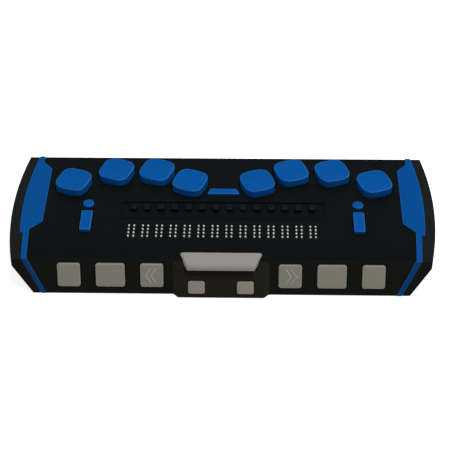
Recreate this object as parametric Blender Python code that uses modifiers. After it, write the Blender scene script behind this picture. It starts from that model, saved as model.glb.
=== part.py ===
"""Refreshable braille display: a slim desk-top case with fourteen eight-dot cells.

Metres, +Z up, +X to the reader's right, +Y away from the reader. The origin is the middle of the
bounding box, on the surface that the feet stand on.
"""

import bpy
import bmesh
from math import atan2, cos, pi, radians, sin, sqrt, tan
from mathutils import Matrix, Vector

# Shared clearances
SEAT_GAP = 0.0003
SLIDE_GAP = 0.00032
ROCK_GAP = 0.00055
OVERRUN = 0.0060
WELD_DISTANCE = 0.000001

# Case walls and heights
WALL = 0.0020
FOOT_HEIGHT = 0.0010
BODY_HEIGHT = 0.0164
PLATE_RECESS = 0.0002
PLATE_THICKNESS = 0.0012

# Side walls: a barrel curve in plan, an upright band under the deck, then a slope inwards
SIDE_BULGE = 0.0036
SIDE_BAND = 0.0030
SIDE_INSET = 0.0098
SIDE_BORDER = 0.0047
SIDE_FACETS = 10

# Front: a gently falling band, a raked face and a faceted nose in the middle
BAND_DEPTH = 0.0113
BAND_DROP = 0.0009
FRONT_RAKE = 0.0048
NOSE_REACH = 0.0028
NOSE_FOOT_HALF = 0.0194
NOSE_ROOT_HALF = 0.0220
NOSE_TOP_HALF = 0.0160
NOSE_TOP_SHARE = 0.62
NOSE_TOP_REACH_SHARE = 0.70
NOSE_ROOT_DROP = 0.0003
NOSE_ROOT_DEPTH = 0.0012

# Reading line: fourteen cells of two by four pins
CELL_COUNT = 14
CELL_PITCH = 0.0064
PIN_PITCH = 0.0024
PIN_ROWS = 4
PIN_SIDES = 6
PIN_RADIUS = 0.00050
PIN_RISE = 0.0007
PIN_DOME = 0.00026
PIN_HOLE_RADIUS = 0.00086
COVER_THICKNESS = 0.0010
COVER_SIDE_MARGIN = 0.0030
COVER_DEPTH = 0.0163
COVER_SETBACK = 0.0005
COVER_LEDGE = 0.0010
COVER_CORNER = 0.0004
DOT_SETBACK = 0.0069

# Piezo reeds behind the pins, and the block that clamps them
REED_SPAN = 0.0360
REED_WIDTH = 0.0018
REED_THICKNESS = 0.0006
REED_TIP = 0.0009
REED_SINK = 0.0011
CLAMP_WIDTH = 0.0048
CLAMP_FRONT = 0.0038
CLAMP_BACK = 0.0046

# Cursor router row, in a shallow recess behind the reading line
ROUTER_STRIP = 0.0054
ROUTER_LENGTH = 0.0054
ROUTER_GAP = 0.0007
ROUTER_RECESS = 0.0006
ROUTER_PROUD = 0.0005
ROUTER_BACK_MARGIN = 0.0010
ROUTER_TRAVEL = 0.0006
ROUTER_SCOOP_RADIUS = 0.0013
ROUTER_SCOOP_DEPTH = 0.0004
ROUTER_SCOOP_SIDES = 8
RECESS_CORNER = 0.0025

# Braille keys: rounded squares, turned towards the middle of the case
KEY_WIDTH = 0.0159
KEY_DEPTH = 0.0166
KEY_SQUARENESS = 3.2
KEY_REACH_SHARE = 1.06
KEY_SIDES = 24
KEY_TURN = radians(20)
KEY_PROUD = 0.0029
KEY_TRAVEL = 0.0015
KEY_EDGE = 0.0006
KEY_MIDDLE_GAP = 0.0160
KEY_GAPS = (0.0021, 0.0035, 0.0054)
KEY_ROW_STEP = 0.0079
KEY_FRONT_GAP = 0.0039
KEY_BACK_GAP = 0.0037
KEY_TRIM_GAP = 0.0038
KEY_EAR_WIDTH = 0.0040

# Retaining lips under the deck and behind the front face
LIP = 0.0008
LIP_THICKNESS = 0.0009

# Menu button between the middle keys
MENU_BACK_HALF = 0.00605
MENU_FRONT_HALF = 0.00765
MENU_DEPTH = 0.0037
MENU_SETBACK = 0.0049
MENU_PROUD = 0.0010
MENU_TRAVEL = 0.0007
MENU_CORNER = 0.0003

# Navigation buttons and rockers beside the reading line
NAV_MARGIN = 0.0124
NAV_WIDTH = 0.0053
NAV_ROCKER_LENGTH = 0.0139
NAV_ROCKER_PROUD = 0.0014
NAV_ROCKER_OFFSET = 0.0060
NAV_CORNER = 0.0006
NAV_BUTTON_RADIUS = 0.00265
NAV_BUTTON_SIDES = 16
NAV_BUTTON_PROUD = 0.0010
NAV_BUTTON_TRAVEL = 0.0007
NAV_BUTTON_GAP = 0.0030
ROCK_ANGLE = radians(4)
TRUNNION_RADIUS = 0.0006
TRUNNION_SIDES = 8

# Push buttons on the raked front face
FACE_BUTTON_HEIGHT = 0.0117
FACE_BUTTON_LIFT = 0.0008
FACE_BUTTON_CORNER = 0.0012
FACE_BUTTON_PROUD = 0.0010
FACE_BUTTON_EDGE = 0.0004
FACE_TRAVEL = 0.0008
FACE_LIP_HEIGHT = 0.0080
PAN_WIDTH = 0.01035
BAR_WIDTH = 0.0131
SELECTOR_WIDTH = 0.0103
PAN_X = 0.0311
BAR_SPACING = 0.0070
SELECTOR_SPACING = 0.0070
SELECTOR_TRIM_GAP = 0.0093
CHEVRON_REACH = 0.0022
CHEVRON_HALF = 0.0034
CHEVRON_WIDTH = 0.0007
CHEVRON_STEP = 0.0024
CHEVRON_RISE = 0.00025

# Shift buttons on the nose
SHIFT_X = 0.0110
SHIFT_WIDTH = 0.0080
SHIFT_HEIGHT = 0.0062
SHIFT_CORNER = 0.0010
SHIFT_LIFT = 0.0014
SHIFT_PROUD = 0.0007
SHIFT_CAP_DEPTH = 0.0012
SHIFT_NECK_WIDTH = 0.0044
SHIFT_NECK_HEIGHT = 0.0024
SHIFT_NECK_RAISE = 0.0008

# Space bar: a trapezium that overhangs the nose
SPACE_BACK_HALF = 0.0186
SPACE_FRONT_HALF = 0.0150
SPACE_SETBACK = 0.0036
SPACE_OVERHANG = 0.0047
SPACE_PROUD = 0.0013
SPACE_FALL = 0.0011
SPACE_DEPTH = 0.0025
SPACE_CORNER = 0.0014
SPACE_EDGE = 0.0006
SPACE_TRAVEL = 0.0012
SPACE_POCKET_SPARE = 0.0007
SPACE_LIP_HALF = 0.0160
SPACE_LIP_DEPTH = 0.0030
SPACE_STEM_HALF = 0.0020
SPACE_STEM_DEPTH = 0.0020

# Blue end trims let into the case
TRIM_WIDTH = 0.0104
TRIM_SINK = 0.0009
TRIM_PROUD = 0.0004
STRIPE_WIDTH = 0.0024
STRIPE_LEAN = 0.0083
STRIPE_STEP = 0.0015
TRIM_HEEL_LENGTH = 0.0167
TRIM_BEND_LENGTH = 0.0022
TRIM_BEND_REACH = 0.0058
TRIM_NECK_LENGTH = 0.0044
TRIM_SHOULDER = 0.0049

# Inner frame: comb for the reed clamps and a shelf with the switch domes
SHELF_THICKNESS = 0.0010
SHELF_WALL_GAP = 0.0006
SHELF_TRIM_GAP = 0.0080
SHELF_EDGE = 0.0015
COMB_TOOTH = 0.0008
COMB_WALL = 0.0014
WING_MARGIN = 0.0040
LEG_SIZE = 0.0034
DOME_RADIUS = 0.0022
DOME_SIDES = 8
DOME_HEIGHT = 0.0009
REED_TOP_GAP = 0.0003
REED_FLOOR_GAP = 0.0012

# Main board, battery, socket and power button
BOARD_THICKNESS = 0.0012
STRIP_DEPTH = 0.0062
STRIP_SETBACK = 0.0020
SWITCH_HALF = 0.0022
SWITCH_DEPTH = 0.0024
SWITCH_HEIGHT = 0.0054
SPACE_SWITCH_HEIGHT = 0.0020
BATTERY_THICKNESS = 0.0062
BATTERY_EDGE = 0.0012
BATTERY_END_GAP = 0.0040
SOCKET_X = -0.0655
SOCKET_WIDTH = 0.0080
SOCKET_HEIGHT = 0.0039
SOCKET_LENGTH = 0.0070
SOCKET_SKIN = 0.0004
SOCKET_CORNER = 0.0009
SOCKET_BACK = 0.0012
TONGUE_WIDTH = 0.0044
TONGUE_THICKNESS = 0.0009
TONGUE_INSET = 0.0006
POWER_X = -0.0545
POWER_RADIUS = 0.0026
POWER_SIDES = 16
POWER_DISH_RADIUS = 0.0038
POWER_DISH_DEPTH = 0.0006
POWER_PROUD = 0.0004
POWER_TRAVEL = 0.0006

# Underside: feet, screw wells and the posts above them
FOOT_RADIUS = 0.0045
FOOT_SIDES = 16
FOOT_X = 0.0700
FOOT_SETBACK = 0.0105
POST_RADIUS = 0.0023
POST_SIDES = 12
POST_SIDE_GAP = 0.0048
POST_BACK_SETBACK = 0.0056
POST_FRONT_SETBACK = 0.0064
SCREW_WELL_RADIUS = 0.0021
SCREW_WELL_DEPTH = 0.0008

# Colours (linear red, green, blue), roughness and metallic value
LOOKS = {
    "shell_black": ((0.0080, 0.0085, 0.0080), 0.55, 0.0),
    "cover_black": ((0.0070, 0.0078, 0.0085), 0.45, 0.0),
    "key_blue": ((0.0060, 0.0900, 0.3300), 0.42, 0.0),
    "trim_blue": ((0.0070, 0.0780, 0.2700), 0.60, 0.0),
    "button_grey": ((0.1800, 0.1720, 0.1480), 0.50, 0.0),
    "bar_grey": ((0.2900, 0.2820, 0.2550), 0.45, 0.0),
    "router_black": ((0.0100, 0.0110, 0.0115), 0.40, 0.0),
    "pin_white": ((0.8500, 0.8500, 0.8300), 0.35, 0.0),
    "frame_grey": ((0.0500, 0.0520, 0.0550), 0.60, 0.0),
    "board_green": ((0.0100, 0.0700, 0.0300), 0.45, 0.0),
    "battery_silver": ((0.4500, 0.4600, 0.4700), 0.35, 0.3),
    "socket_steel": ((0.5500, 0.5500, 0.5600), 0.30, 1.0),
}

# Places across the case, from the middle outwards
CELLS_HALF = CELL_COUNT * CELL_PITCH / 2
COVER_HALF = CELLS_HALF + COVER_SIDE_MARGIN
NAV_X = COVER_HALF + NAV_MARGIN + NAV_WIDTH / 2
KEY_SPACINGS = [KEY_WIDTH + gap for gap in KEY_GAPS]
KEY_1_X = (KEY_MIDDLE_GAP + KEY_WIDTH) / 2
KEY_2_X = KEY_1_X + sqrt(KEY_SPACINGS[0] ** 2 - KEY_ROW_STEP ** 2)
KEY_3_X = KEY_2_X + KEY_SPACINGS[1]
KEY_7_X = KEY_3_X + sqrt(KEY_SPACINGS[2] ** 2 - KEY_ROW_STEP ** 2)
BAR_X = PAN_X + (PAN_WIDTH + BAR_WIDTH) / 2 + BAR_SPACING
SELECTOR_X = BAR_X + (BAR_WIDTH + SELECTOR_WIDTH) / 2 + SELECTOR_SPACING
KEY_ROW_END = KEY_7_X + KEY_WIDTH / 2 + KEY_TRIM_GAP
FRONT_ROW_END = SELECTOR_X + SELECTOR_WIDTH / 2 + SELECTOR_TRIM_GAP
TRIM_INNER_X = max(KEY_ROW_END, FRONT_ROW_END)
HALF_WIDTH = TRIM_INNER_X + TRIM_WIDTH + SIDE_BORDER

# Places from front to back, measured from the deck's front edge first
KEY_REACH = KEY_DEPTH / 2 * KEY_REACH_SHARE
COVER_FRONT = BAND_DEPTH + COVER_SETBACK
COVER_BACK = COVER_FRONT + COVER_DEPTH
ROUTER_FRONT = COVER_BACK + ROUTER_STRIP
RECESS_BACK = ROUTER_FRONT + ROUTER_LENGTH + ROUTER_BACK_MARGIN
KEY_FRONT_ROW = RECESS_BACK + KEY_FRONT_GAP + KEY_REACH
KEY_BACK_ROW = KEY_FRONT_ROW + KEY_ROW_STEP
DECK_DEPTH = KEY_BACK_ROW + KEY_REACH + KEY_BACK_GAP
OVERALL_DEPTH = NOSE_REACH + FRONT_RAKE + DECK_DEPTH + TRIM_PROUD
NOSE_Y = -OVERALL_DEPTH / 2
FACE_FOOT_Y = NOSE_Y + NOSE_REACH
FRONT_Y = FACE_FOOT_Y + FRONT_RAKE
CREASE_Y = FRONT_Y + BAND_DEPTH
BACK_Y = FRONT_Y + DECK_DEPTH
READING_Y = FRONT_Y + COVER_FRONT + DOT_SETBACK
ROUTER_Y = FRONT_Y + ROUTER_FRONT + ROUTER_LENGTH / 2
SIDE_MIDDLE_Y = (FRONT_Y + BACK_Y) / 2
SIDE_RADIUS = ((DECK_DEPTH / 2) ** 2 + SIDE_BULGE ** 2) / (2 * SIDE_BULGE)

# Heights
BASE_Z = FOOT_HEIGHT
DECK_Z = BASE_Z + BODY_HEIGHT
BAND_Z = DECK_Z - SIDE_BAND
FRONT_Z = DECK_Z - BAND_DROP
PLATE_LOW_Z = BASE_Z + PLATE_RECESS
PLATE_Z = PLATE_LOW_Z + PLATE_THICKNESS
UNDER_DECK_Z = DECK_Z - WALL
LIP_TOP_Z = UNDER_DECK_Z - SEAT_GAP
LIP_LOW_Z = LIP_TOP_Z - LIP_THICKNESS
SHELF_Z = LIP_LOW_Z - KEY_TRAVEL - SEAT_GAP - DOME_HEIGHT
SHELF_LOW_Z = SHELF_Z - SHELF_THICKNESS
REED_TOP_Z = SHELF_LOW_Z - REED_TOP_GAP
REED_LOW_Z = PLATE_Z + REED_FLOOR_GAP
REED_STEP = (REED_TOP_Z - REED_THICKNESS * 2 - REED_LOW_Z) / (PIN_ROWS - 1)
PIVOT_Y = READING_Y + REED_SPAN
PIVOT_Z = (REED_TOP_Z + REED_LOW_Z) / 2
BOARD_LOW_Z = PLATE_Z + SEAT_GAP
BOARD_Z = BOARD_LOW_Z + BOARD_THICKNESS

# The raked front face: its slope, and how far its foot lies below its top edge
FACE_HEIGHT = FRONT_Z - BASE_Z
FACE_TILT = atan2(FRONT_RAKE, FACE_HEIGHT)


def collection(name):
    """Makes a collection in the scene."""
    made = bpy.data.collections.new(name)
    bpy.context.scene.collection.children.link(made)
    return made


for leftover in list(bpy.data.objects):
    bpy.data.objects.remove(leftover)

PARTS = collection("refreshable_braille_display")
CUTTERS = collection("cutters")


# Outlines, as counter-clockwise lists of flat points

def neighbours(points):
    """Each point of a closed outline with the ones before and after it."""
    return zip(points[-1:] + points[:-1], points, points[1:] + points[:1])


def offset_outline(outline, amount):
    """Moves every side of an outline outwards by an amount."""
    moved = []
    for before, here, after in neighbours(outline):
        arriving = (here - before).normalized()
        leaving = (after - here).normalized()
        side_a = Vector((arriving.y, -arriving.x))
        side_b = Vector((leaving.y, -leaving.x))
        moved.append(here + (side_a + side_b) * (amount / (1 + side_a.dot(side_b))))
    return moved


def round_corners(corners, radius, steps=4):
    """Replaces each corner of an outline by an arc."""
    outline = []
    for before, here, after in neighbours([Vector(corner) for corner in corners]):
        back = (before - here).normalized()
        ahead = (after - here).normalized()
        half = back.angle(ahead) / 2
        centre = here + (back + ahead).normalized() * (radius / sin(half))
        start = here + back * (radius / tan(half)) - centre
        end = here + ahead * (radius / tan(half)) - centre
        sweep = start.angle_signed(end) * -1
        for step in range(steps + 1):
            outline.append(centre + Matrix.Rotation(sweep * step / steps, 2) @ start)
    return outline


def rectangle(left, right, front, back):
    """A rectangle between four sides."""
    return [Vector((left, front)), Vector((right, front)), Vector((right, back)), Vector((left, back))]


def centred(width, depth):
    """A rectangle around the origin."""
    return rectangle(-width / 2, width / 2, -depth / 2, depth / 2)


def circle(radius, sides, x=0, y=0):
    """A regular polygon on a circle."""
    return [Vector((x + radius * cos(2 * pi * side / sides), y + radius * sin(2 * pi * side / sides)))
            for side in range(sides)]


def turned(outline, angle):
    """An outline turned about the origin."""
    return [Matrix.Rotation(angle, 2) @ point for point in outline]


def squircle(width, depth, turn):
    """A rounded square with slightly swollen sides, turned about its middle."""
    outline = []
    for side in range(KEY_SIDES):
        angle = 2 * pi * side / KEY_SIDES
        total = abs(cos(angle)) ** KEY_SQUARENESS + abs(sin(angle)) ** KEY_SQUARENESS
        outline.append(Vector((cos(angle) * width, sin(angle) * depth)) / (2 * total ** (1 / KEY_SQUARENESS)))
    return turned(outline, turn)


def mirrored(outline, side):
    """The outline as it is on the right, or its mirror image on the left."""
    if side > 0:
        return outline
    return [Vector((-point.x, point.y)) for point in reversed(outline)]


def arc_x(y):
    """Half the deck's width at a place between front and back, on the barrel curve."""
    return HALF_WIDTH - SIDE_RADIUS + sqrt(SIDE_RADIUS ** 2 - (y - SIDE_MIDDLE_Y) ** 2)


def face_y(z):
    """The raked front face's place at a height."""
    return FRONT_Y - FRONT_RAKE * (FRONT_Z - z) / FACE_HEIGHT


def deck_z(y):
    """The deck's height at a place between front and back."""
    return DECK_Z - BAND_DROP * max(0, CREASE_Y - y) / BAND_DEPTH


# Solids

def link(name, mesh, home, look=None):
    """Makes an object of a mesh, with its own material if it has a look."""
    made = bpy.data.objects.new(name, mesh)
    home.objects.link(made)
    if look is None:
        made.hide_render = True
        made.display_type = "WIRE"
        return made
    colour, roughness, metallic = LOOKS[look]
    material = bpy.data.materials.new(name)
    material.use_nodes = True
    shader = material.node_tree.nodes["Principled BSDF"]
    shader.inputs["Base Color"].default_value = (*colour, 1)
    shader.inputs["Roughness"].default_value = roughness
    shader.inputs["Metallic"].default_value = metallic
    mesh.materials.append(material)
    return made


def place(piece, placement):
    """Sets a piece's place and turn."""
    piece.matrix_world = placement
    return piece


def slab(name, outline, low, high, look=None, placement=Matrix(), home=None):
    """A flat outline with a thickness: a filled curve, extruded and made a mesh."""
    curve = bpy.data.curves.new(name, "CURVE")
    curve.dimensions = "2D"
    curve.fill_mode = "BOTH"
    curve.extrude = (high - low) / 2
    spline = curve.splines.new("POLY")
    spline.points.add(len(outline) - 1)
    for point, flat in zip(spline.points, outline):
        point.co = (flat.x, flat.y, 0, 1)
    spline.use_cyclic_u = True
    guide = bpy.data.objects.new(name, curve)
    bpy.context.scene.collection.objects.link(guide)
    mesh = bpy.data.meshes.new_from_object(guide.evaluated_get(bpy.context.evaluated_depsgraph_get()))
    bpy.data.objects.remove(guide)
    bpy.data.curves.remove(curve)
    mesh.transform(Matrix.Translation((0, 0, (low + high) / 2)))
    shape = bmesh.new()
    shape.from_mesh(mesh)
    bmesh.ops.remove_doubles(shape, verts=shape.verts, dist=WELD_DISTANCE)
    bmesh.ops.dissolve_limit(shape, angle_limit=radians(0.1), verts=shape.verts, edges=shape.edges)
    bmesh.ops.recalc_face_normals(shape, faces=shape.faces)
    shape.to_mesh(mesh)
    shape.free()
    mesh.materials.clear()
    return place(link(name, mesh, home or (PARTS if look else CUTTERS), look), placement)


def block(name, left, right, front, back, low, high, look=None):
    """An upright box between six sides."""
    return slab(name, rectangle(left, right, front, back), low, high, look)


def loft(name, rings, look=None):
    """Closes a skin over rings of equally many points, from the lowest to the highest."""
    mesh = bpy.data.meshes.new(name)
    shape = bmesh.new()
    loops = [[shape.verts.new(point) for point in ring] for ring in rings]
    shape.faces.new(reversed(loops[0]))
    shape.faces.new(loops[-1])
    for low, high in zip(loops, loops[1:]):
        for (a, b), (d, c) in zip(zip(low, low[1:] + low[:1]), zip(high, high[1:] + high[:1])):
            shape.faces.new((a, b, c, d))
    shape.to_mesh(mesh)
    shape.free()
    return link(name, mesh, PARTS if look else CUTTERS, look)


def hull(name, points):
    """The convex body around a few corner points."""
    mesh = bpy.data.meshes.new(name)
    shape = bmesh.new()
    for point in points:
        shape.verts.new(point)
    bmesh.ops.convex_hull(shape, input=shape.verts)
    shape.to_mesh(mesh)
    shape.free()
    return link(name, mesh, CUTTERS)


def boolean(piece, operation, tool):
    """Adds, cuts or keeps what a piece shares with a tool."""
    modifier = piece.modifiers.new(tool.name, "BOOLEAN")
    modifier.operation = operation
    modifier.solver = "EXACT"
    modifier.object = tool


def add(piece, *tools):
    for tool in tools:
        boolean(piece, "UNION", tool)


def cut(piece, *tools):
    for tool in tools:
        boolean(piece, "DIFFERENCE", tool)


def keep(piece, tool):
    boolean(piece, "INTERSECT", tool)


def soften_rim(piece, height, width):
    """Rounds the edges of a piece that lie at a height in its own frame."""
    mesh = piece.data
    weights = mesh.attributes.new("bevel_weight_edge", "FLOAT", "EDGE")
    for edge in mesh.edges:
        if all(abs(mesh.vertices[end].co.z - height) < SEAT_GAP / 10 for end in edge.vertices):
            weights.data[edge.index].value = 1
    bevel = piece.modifiers.new("rim", "BEVEL")
    bevel.limit_method = "WEIGHT"
    bevel.width = width
    bevel.segments = 1


def soften(piece, width, angle):
    """Rounds the edges of a piece that are sharper than an angle."""
    bevel = piece.modifiers.new("edges", "BEVEL")
    bevel.limit_method = "ANGLE"
    bevel.angle_limit = angle
    bevel.width = width
    bevel.segments = 2


# The housing's outer form, and the same form moved in or out

def side_half(y, z, inset):
    """Half the housing's width at a place, moved in by an inset."""
    slope = SIDE_INSET / (BAND_Z - BASE_Z)
    band_low = BAND_Z - inset * tan(atan2(SIDE_INSET, BAND_Z - BASE_Z) / 2)
    return arc_x(y) - inset - slope * max(0, band_low - z)


def barrel(name, inset, low, high):
    """The curved side walls as one body, longer than the housing at front and back."""
    front = NOSE_Y - OVERRUN
    length = BACK_Y + OVERRUN - front
    places = [front + length * step / SIDE_FACETS for step in range(SIDE_FACETS + 1)]
    band_low = BAND_Z - inset * tan(atan2(SIDE_INSET, BAND_Z - BASE_Z) / 2)
    rings = []
    for z in (low, band_low, high):
        right = [(side_half(y, z, inset), y, z) for y in places]
        rings.append(right + [(-x, y, z) for x, y, z in reversed(right)])
    return loft(name, rings)


LENGTHWISE = Matrix(((0, 0, 1, 0), (1, 0, 0, 0), (0, 1, 0, 0), (0, 0, 0, 1)))


def side_profile(inset, floor):
    """The housing seen from the side, as points of depth and height, moved in by an inset."""
    base = floor - inset
    corners = [
        Vector((face_y(base), base)),
        Vector((BACK_Y, base)),
        Vector((BACK_Y, DECK_Z)),
        Vector((CREASE_Y, DECK_Z)),
        Vector((FRONT_Y, FRONT_Z)),
    ]
    return offset_outline(corners, -inset)


def housing_form(name, inset, floor):
    """The housing's form: the side profile as wide as the case, kept inside the curved sides."""
    form = slab(name, side_profile(inset, floor), -HALF_WIDTH - OVERRUN, HALF_WIDTH + OVERRUN,
                placement=LENGTHWISE)
    keep(form, barrel(name + "_sides", inset, floor - OVERRUN, DECK_Z + OVERRUN))
    return form


# Frames for what is mounted on the raked face and on the back

def face_frame(x, z):
    """Local X across the face, local Y up along it and local Z out of it, at a height on the face."""
    return Matrix.Translation((x, face_y(z), z)) @ Matrix.Rotation(pi / 2 - FACE_TILT, 4, "X")


def nose_frame(x, z):
    """The same for the nose's front face."""
    top_z = BASE_Z + FACE_HEIGHT * NOSE_TOP_SHARE
    top_y = face_y(top_z) - NOSE_REACH * NOSE_TOP_REACH_SHARE
    tilt = atan2(top_y - NOSE_Y, top_z - BASE_Z)
    y = NOSE_Y + (z - BASE_Z) * tan(tilt)
    return Matrix.Translation((x, y, z)) @ Matrix.Rotation(pi / 2 - tilt, 4, "X")


def back_frame(x, z):
    """Local X towards the left, local Y up and local Z out of the back wall."""
    return (Matrix.Translation((x, BACK_Y, z)) @ Matrix.Rotation(pi, 4, "Z")
            @ Matrix.Rotation(pi / 2, 4, "X"))


# Push buttons: a cap that slides in an opening, with a lip behind the wall

def push_button(name, outline, proud, edge, lip, look, placement, wall=WALL):
    """A cap through a wall, softened at its rim, with a lip of its own that holds it in."""
    low = -wall - SEAT_GAP - LIP_THICKNESS
    cap = slab(name, outline, low, proud, look, placement)
    soften_rim(cap, proud, edge)
    lip_slab = slab(name + "_lip", lip, low, low + LIP_THICKNESS, placement=placement)
    add(cap, lip_slab)
    return cap


def opening(name, outline, placement, depth, gap=SLIDE_GAP):
    """The cutter of a button's opening."""
    return slab(name + "_opening", offset_outline(outline, gap), -depth, OVERRUN, placement=placement)


# Housing

def nose_points():
    """The corner points of the faceted nose: its front face, and its roots inside the front wall."""
    top_z = BASE_Z + FACE_HEIGHT * NOSE_TOP_SHARE
    root_z = FRONT_Z - NOSE_ROOT_DROP
    points = []
    for side in (-1, 1):
        points.append((side * NOSE_FOOT_HALF, NOSE_Y, BASE_Z))
        points.append((side * NOSE_TOP_HALF, face_y(top_z) - NOSE_REACH * NOSE_TOP_REACH_SHARE, top_z))
        for z in (BASE_Z, root_z):
            for depth in (SEAT_GAP / 2, NOSE_ROOT_DEPTH):
                points.append((side * NOSE_ROOT_HALF, face_y(z) + depth, z))
    return points


def trim_outline():
    """The right-hand trim seen from above, from the foot of its stripe round to the back edge."""
    heel_y = FRONT_Y + TRIM_HEEL_LENGTH
    neck_y = BACK_Y - TRIM_NECK_LENGTH
    shoulder_y = neck_y - TRIM_SHOULDER
    lean = STRIPE_LEAN / FRONT_RAKE
    foot_y = FACE_FOOT_Y - OVERRUN
    front_x = arc_x(FRONT_Y) - SIDE_BORDER
    foot_x = front_x - lean * (FRONT_Y - foot_y)
    heel_x = arc_x(heel_y) - SIDE_BORDER - STRIPE_STEP
    length = BACK_Y + OVERRUN - heel_y
    outer = [heel_y + length * step / SIDE_FACETS for step in range(SIDE_FACETS + 1)]
    outline = [Vector((foot_x - STRIPE_WIDTH, foot_y)), Vector((foot_x, foot_y)),
               Vector((front_x, FRONT_Y)), Vector((heel_x, heel_y))]
    outline += [Vector((arc_x(y) - SIDE_BORDER, y)) for y in outer]
    neck_x = arc_x(BACK_Y) - SIDE_BORDER - STRIPE_WIDTH
    outline += [Vector((neck_x, BACK_Y + OVERRUN)), Vector((neck_x, neck_y)),
                Vector((TRIM_INNER_X, shoulder_y)),
                Vector((TRIM_INNER_X, heel_y + TRIM_BEND_LENGTH + TRIM_BEND_REACH)),
                Vector((heel_x - STRIPE_WIDTH, heel_y + TRIM_BEND_LENGTH)),
                Vector((front_x - STRIPE_WIDTH, FRONT_Y))]
    return outline


def build_trims():
    """Two blue trims, each a layer on the deck, the raked face and the back, and their recesses."""
    outside = housing_form("trim_outside", -TRIM_PROUD, BASE_Z)
    inside, bed = [slab(name, side_profile(inset, BASE_Z - OVERRUN),
                        -HALF_WIDTH - OVERRUN, HALF_WIDTH + OVERRUN, placement=LENGTHWISE)
                   for name, inset in (("trim_inside", TRIM_SINK), ("trim_bed", TRIM_SINK + SEAT_GAP))]
    recesses = []
    for side, name in ((-1, "trim_left"), (1, "trim_right")):
        outline = mirrored(trim_outline(), side)
        trim = slab(name, outline, BASE_Z - OVERRUN, DECK_Z + OVERRUN, "trim_blue")
        keep(trim, outside)
        cut(trim, inside)
        recess = slab(name + "_recess", offset_outline(outline, SEAT_GAP),
                      BASE_Z - OVERRUN, DECK_Z + OVERRUN)
        cut(recess, bed)
        recesses.append(recess)
    return recesses


POST_X = HALF_WIDTH - SIDE_INSET - WALL - POST_RADIUS - POST_SIDE_GAP
POST_PLACES = [(side * POST_X, y) for y in (FRONT_Y + POST_FRONT_SETBACK, BACK_Y - POST_BACK_SETBACK)
               for side in (-1, 1)]


def build_top_case(recesses, openings):
    """The upper shell: deck, sides, raked face and nose in one moulding, open underneath."""
    case = slab("top_case", side_profile(0, BASE_Z), -HALF_WIDTH - OVERRUN, HALF_WIDTH + OVERRUN,
                "shell_black", LENGTHWISE)
    keep(case, barrel("case_sides", 0, BASE_Z - OVERRUN, DECK_Z + OVERRUN))
    cut(case, housing_form("case_cavity", WALL, BASE_Z - OVERRUN))
    add(case, hull("nose", nose_points()))
    for number, (x, y) in enumerate(POST_PLACES, 1):
        add(case, slab(f"post_{number}", circle(POST_RADIUS, POST_SIDES, x, y),
                       PLATE_Z + SEAT_GAP, UNDER_DECK_Z + WALL / 2))
    cut(case, *recesses, *openings)
    return case


def build_bottom_case():
    """The floor plate inside the shell's lower rim, with four feet and four screw wells."""
    plate = slab("bottom_case", side_profile(WALL + SEAT_GAP, PLATE_LOW_Z), -HALF_WIDTH, HALF_WIDTH,
                 "shell_black", LENGTHWISE)
    keep(plate, barrel("plate_sides", WALL + SEAT_GAP, BASE_Z - OVERRUN, DECK_Z + OVERRUN))
    keep(plate, block("plate_slice", -HALF_WIDTH, HALF_WIDTH, NOSE_Y, BACK_Y, PLATE_LOW_Z - OVERRUN, PLATE_Z))
    feet = [(side * FOOT_X, y) for y in (FRONT_Y + FOOT_SETBACK, BACK_Y - FOOT_SETBACK) for side in (-1, 1)]
    for number, (x, y) in enumerate(feet, 1):
        add(plate, slab(f"foot_{number}", circle(FOOT_RADIUS, FOOT_SIDES, x, y),
                        0, PLATE_LOW_Z + PLATE_THICKNESS / 2))
    for number, (x, y) in enumerate(POST_PLACES, 1):
        cut(plate, slab(f"screw_well_{number}", circle(SCREW_WELL_RADIUS, POST_SIDES, x, y),
                        PLATE_LOW_Z - OVERRUN, PLATE_LOW_Z + SCREW_WELL_DEPTH))


# Braille cells

PIN_PLACES = [(column * PIN_PITCH / 2, READING_Y + (row - (PIN_ROWS - 1) / 2) * PIN_PITCH, row)
              for row in range(PIN_ROWS) for column in (-1, 1)]
CELL_PLACES = [(number - (CELL_COUNT - 1) / 2) * CELL_PITCH for number in range(CELL_COUNT)]


def ring(x, y, z, radius):
    """One ring of a pin or of its hole."""
    return [(x + point.x, y + point.y, z) for point in circle(radius, PIN_SIDES)]


def merged(name, solids):
    """Joins separate loose solids into one cutter object."""
    shape = bmesh.new()
    for solid in solids:
        shape.from_mesh(solid.data)
        bpy.data.objects.remove(solid)
    mesh = bpy.data.meshes.new(name)
    shape.to_mesh(mesh)
    shape.free()
    return link(name, mesh, CUTTERS)


def reed_z(row):
    """The underside of the reed that lifts a row of pins: the front row's reed lies lowest."""
    return REED_LOW_Z + row * REED_STEP


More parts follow.
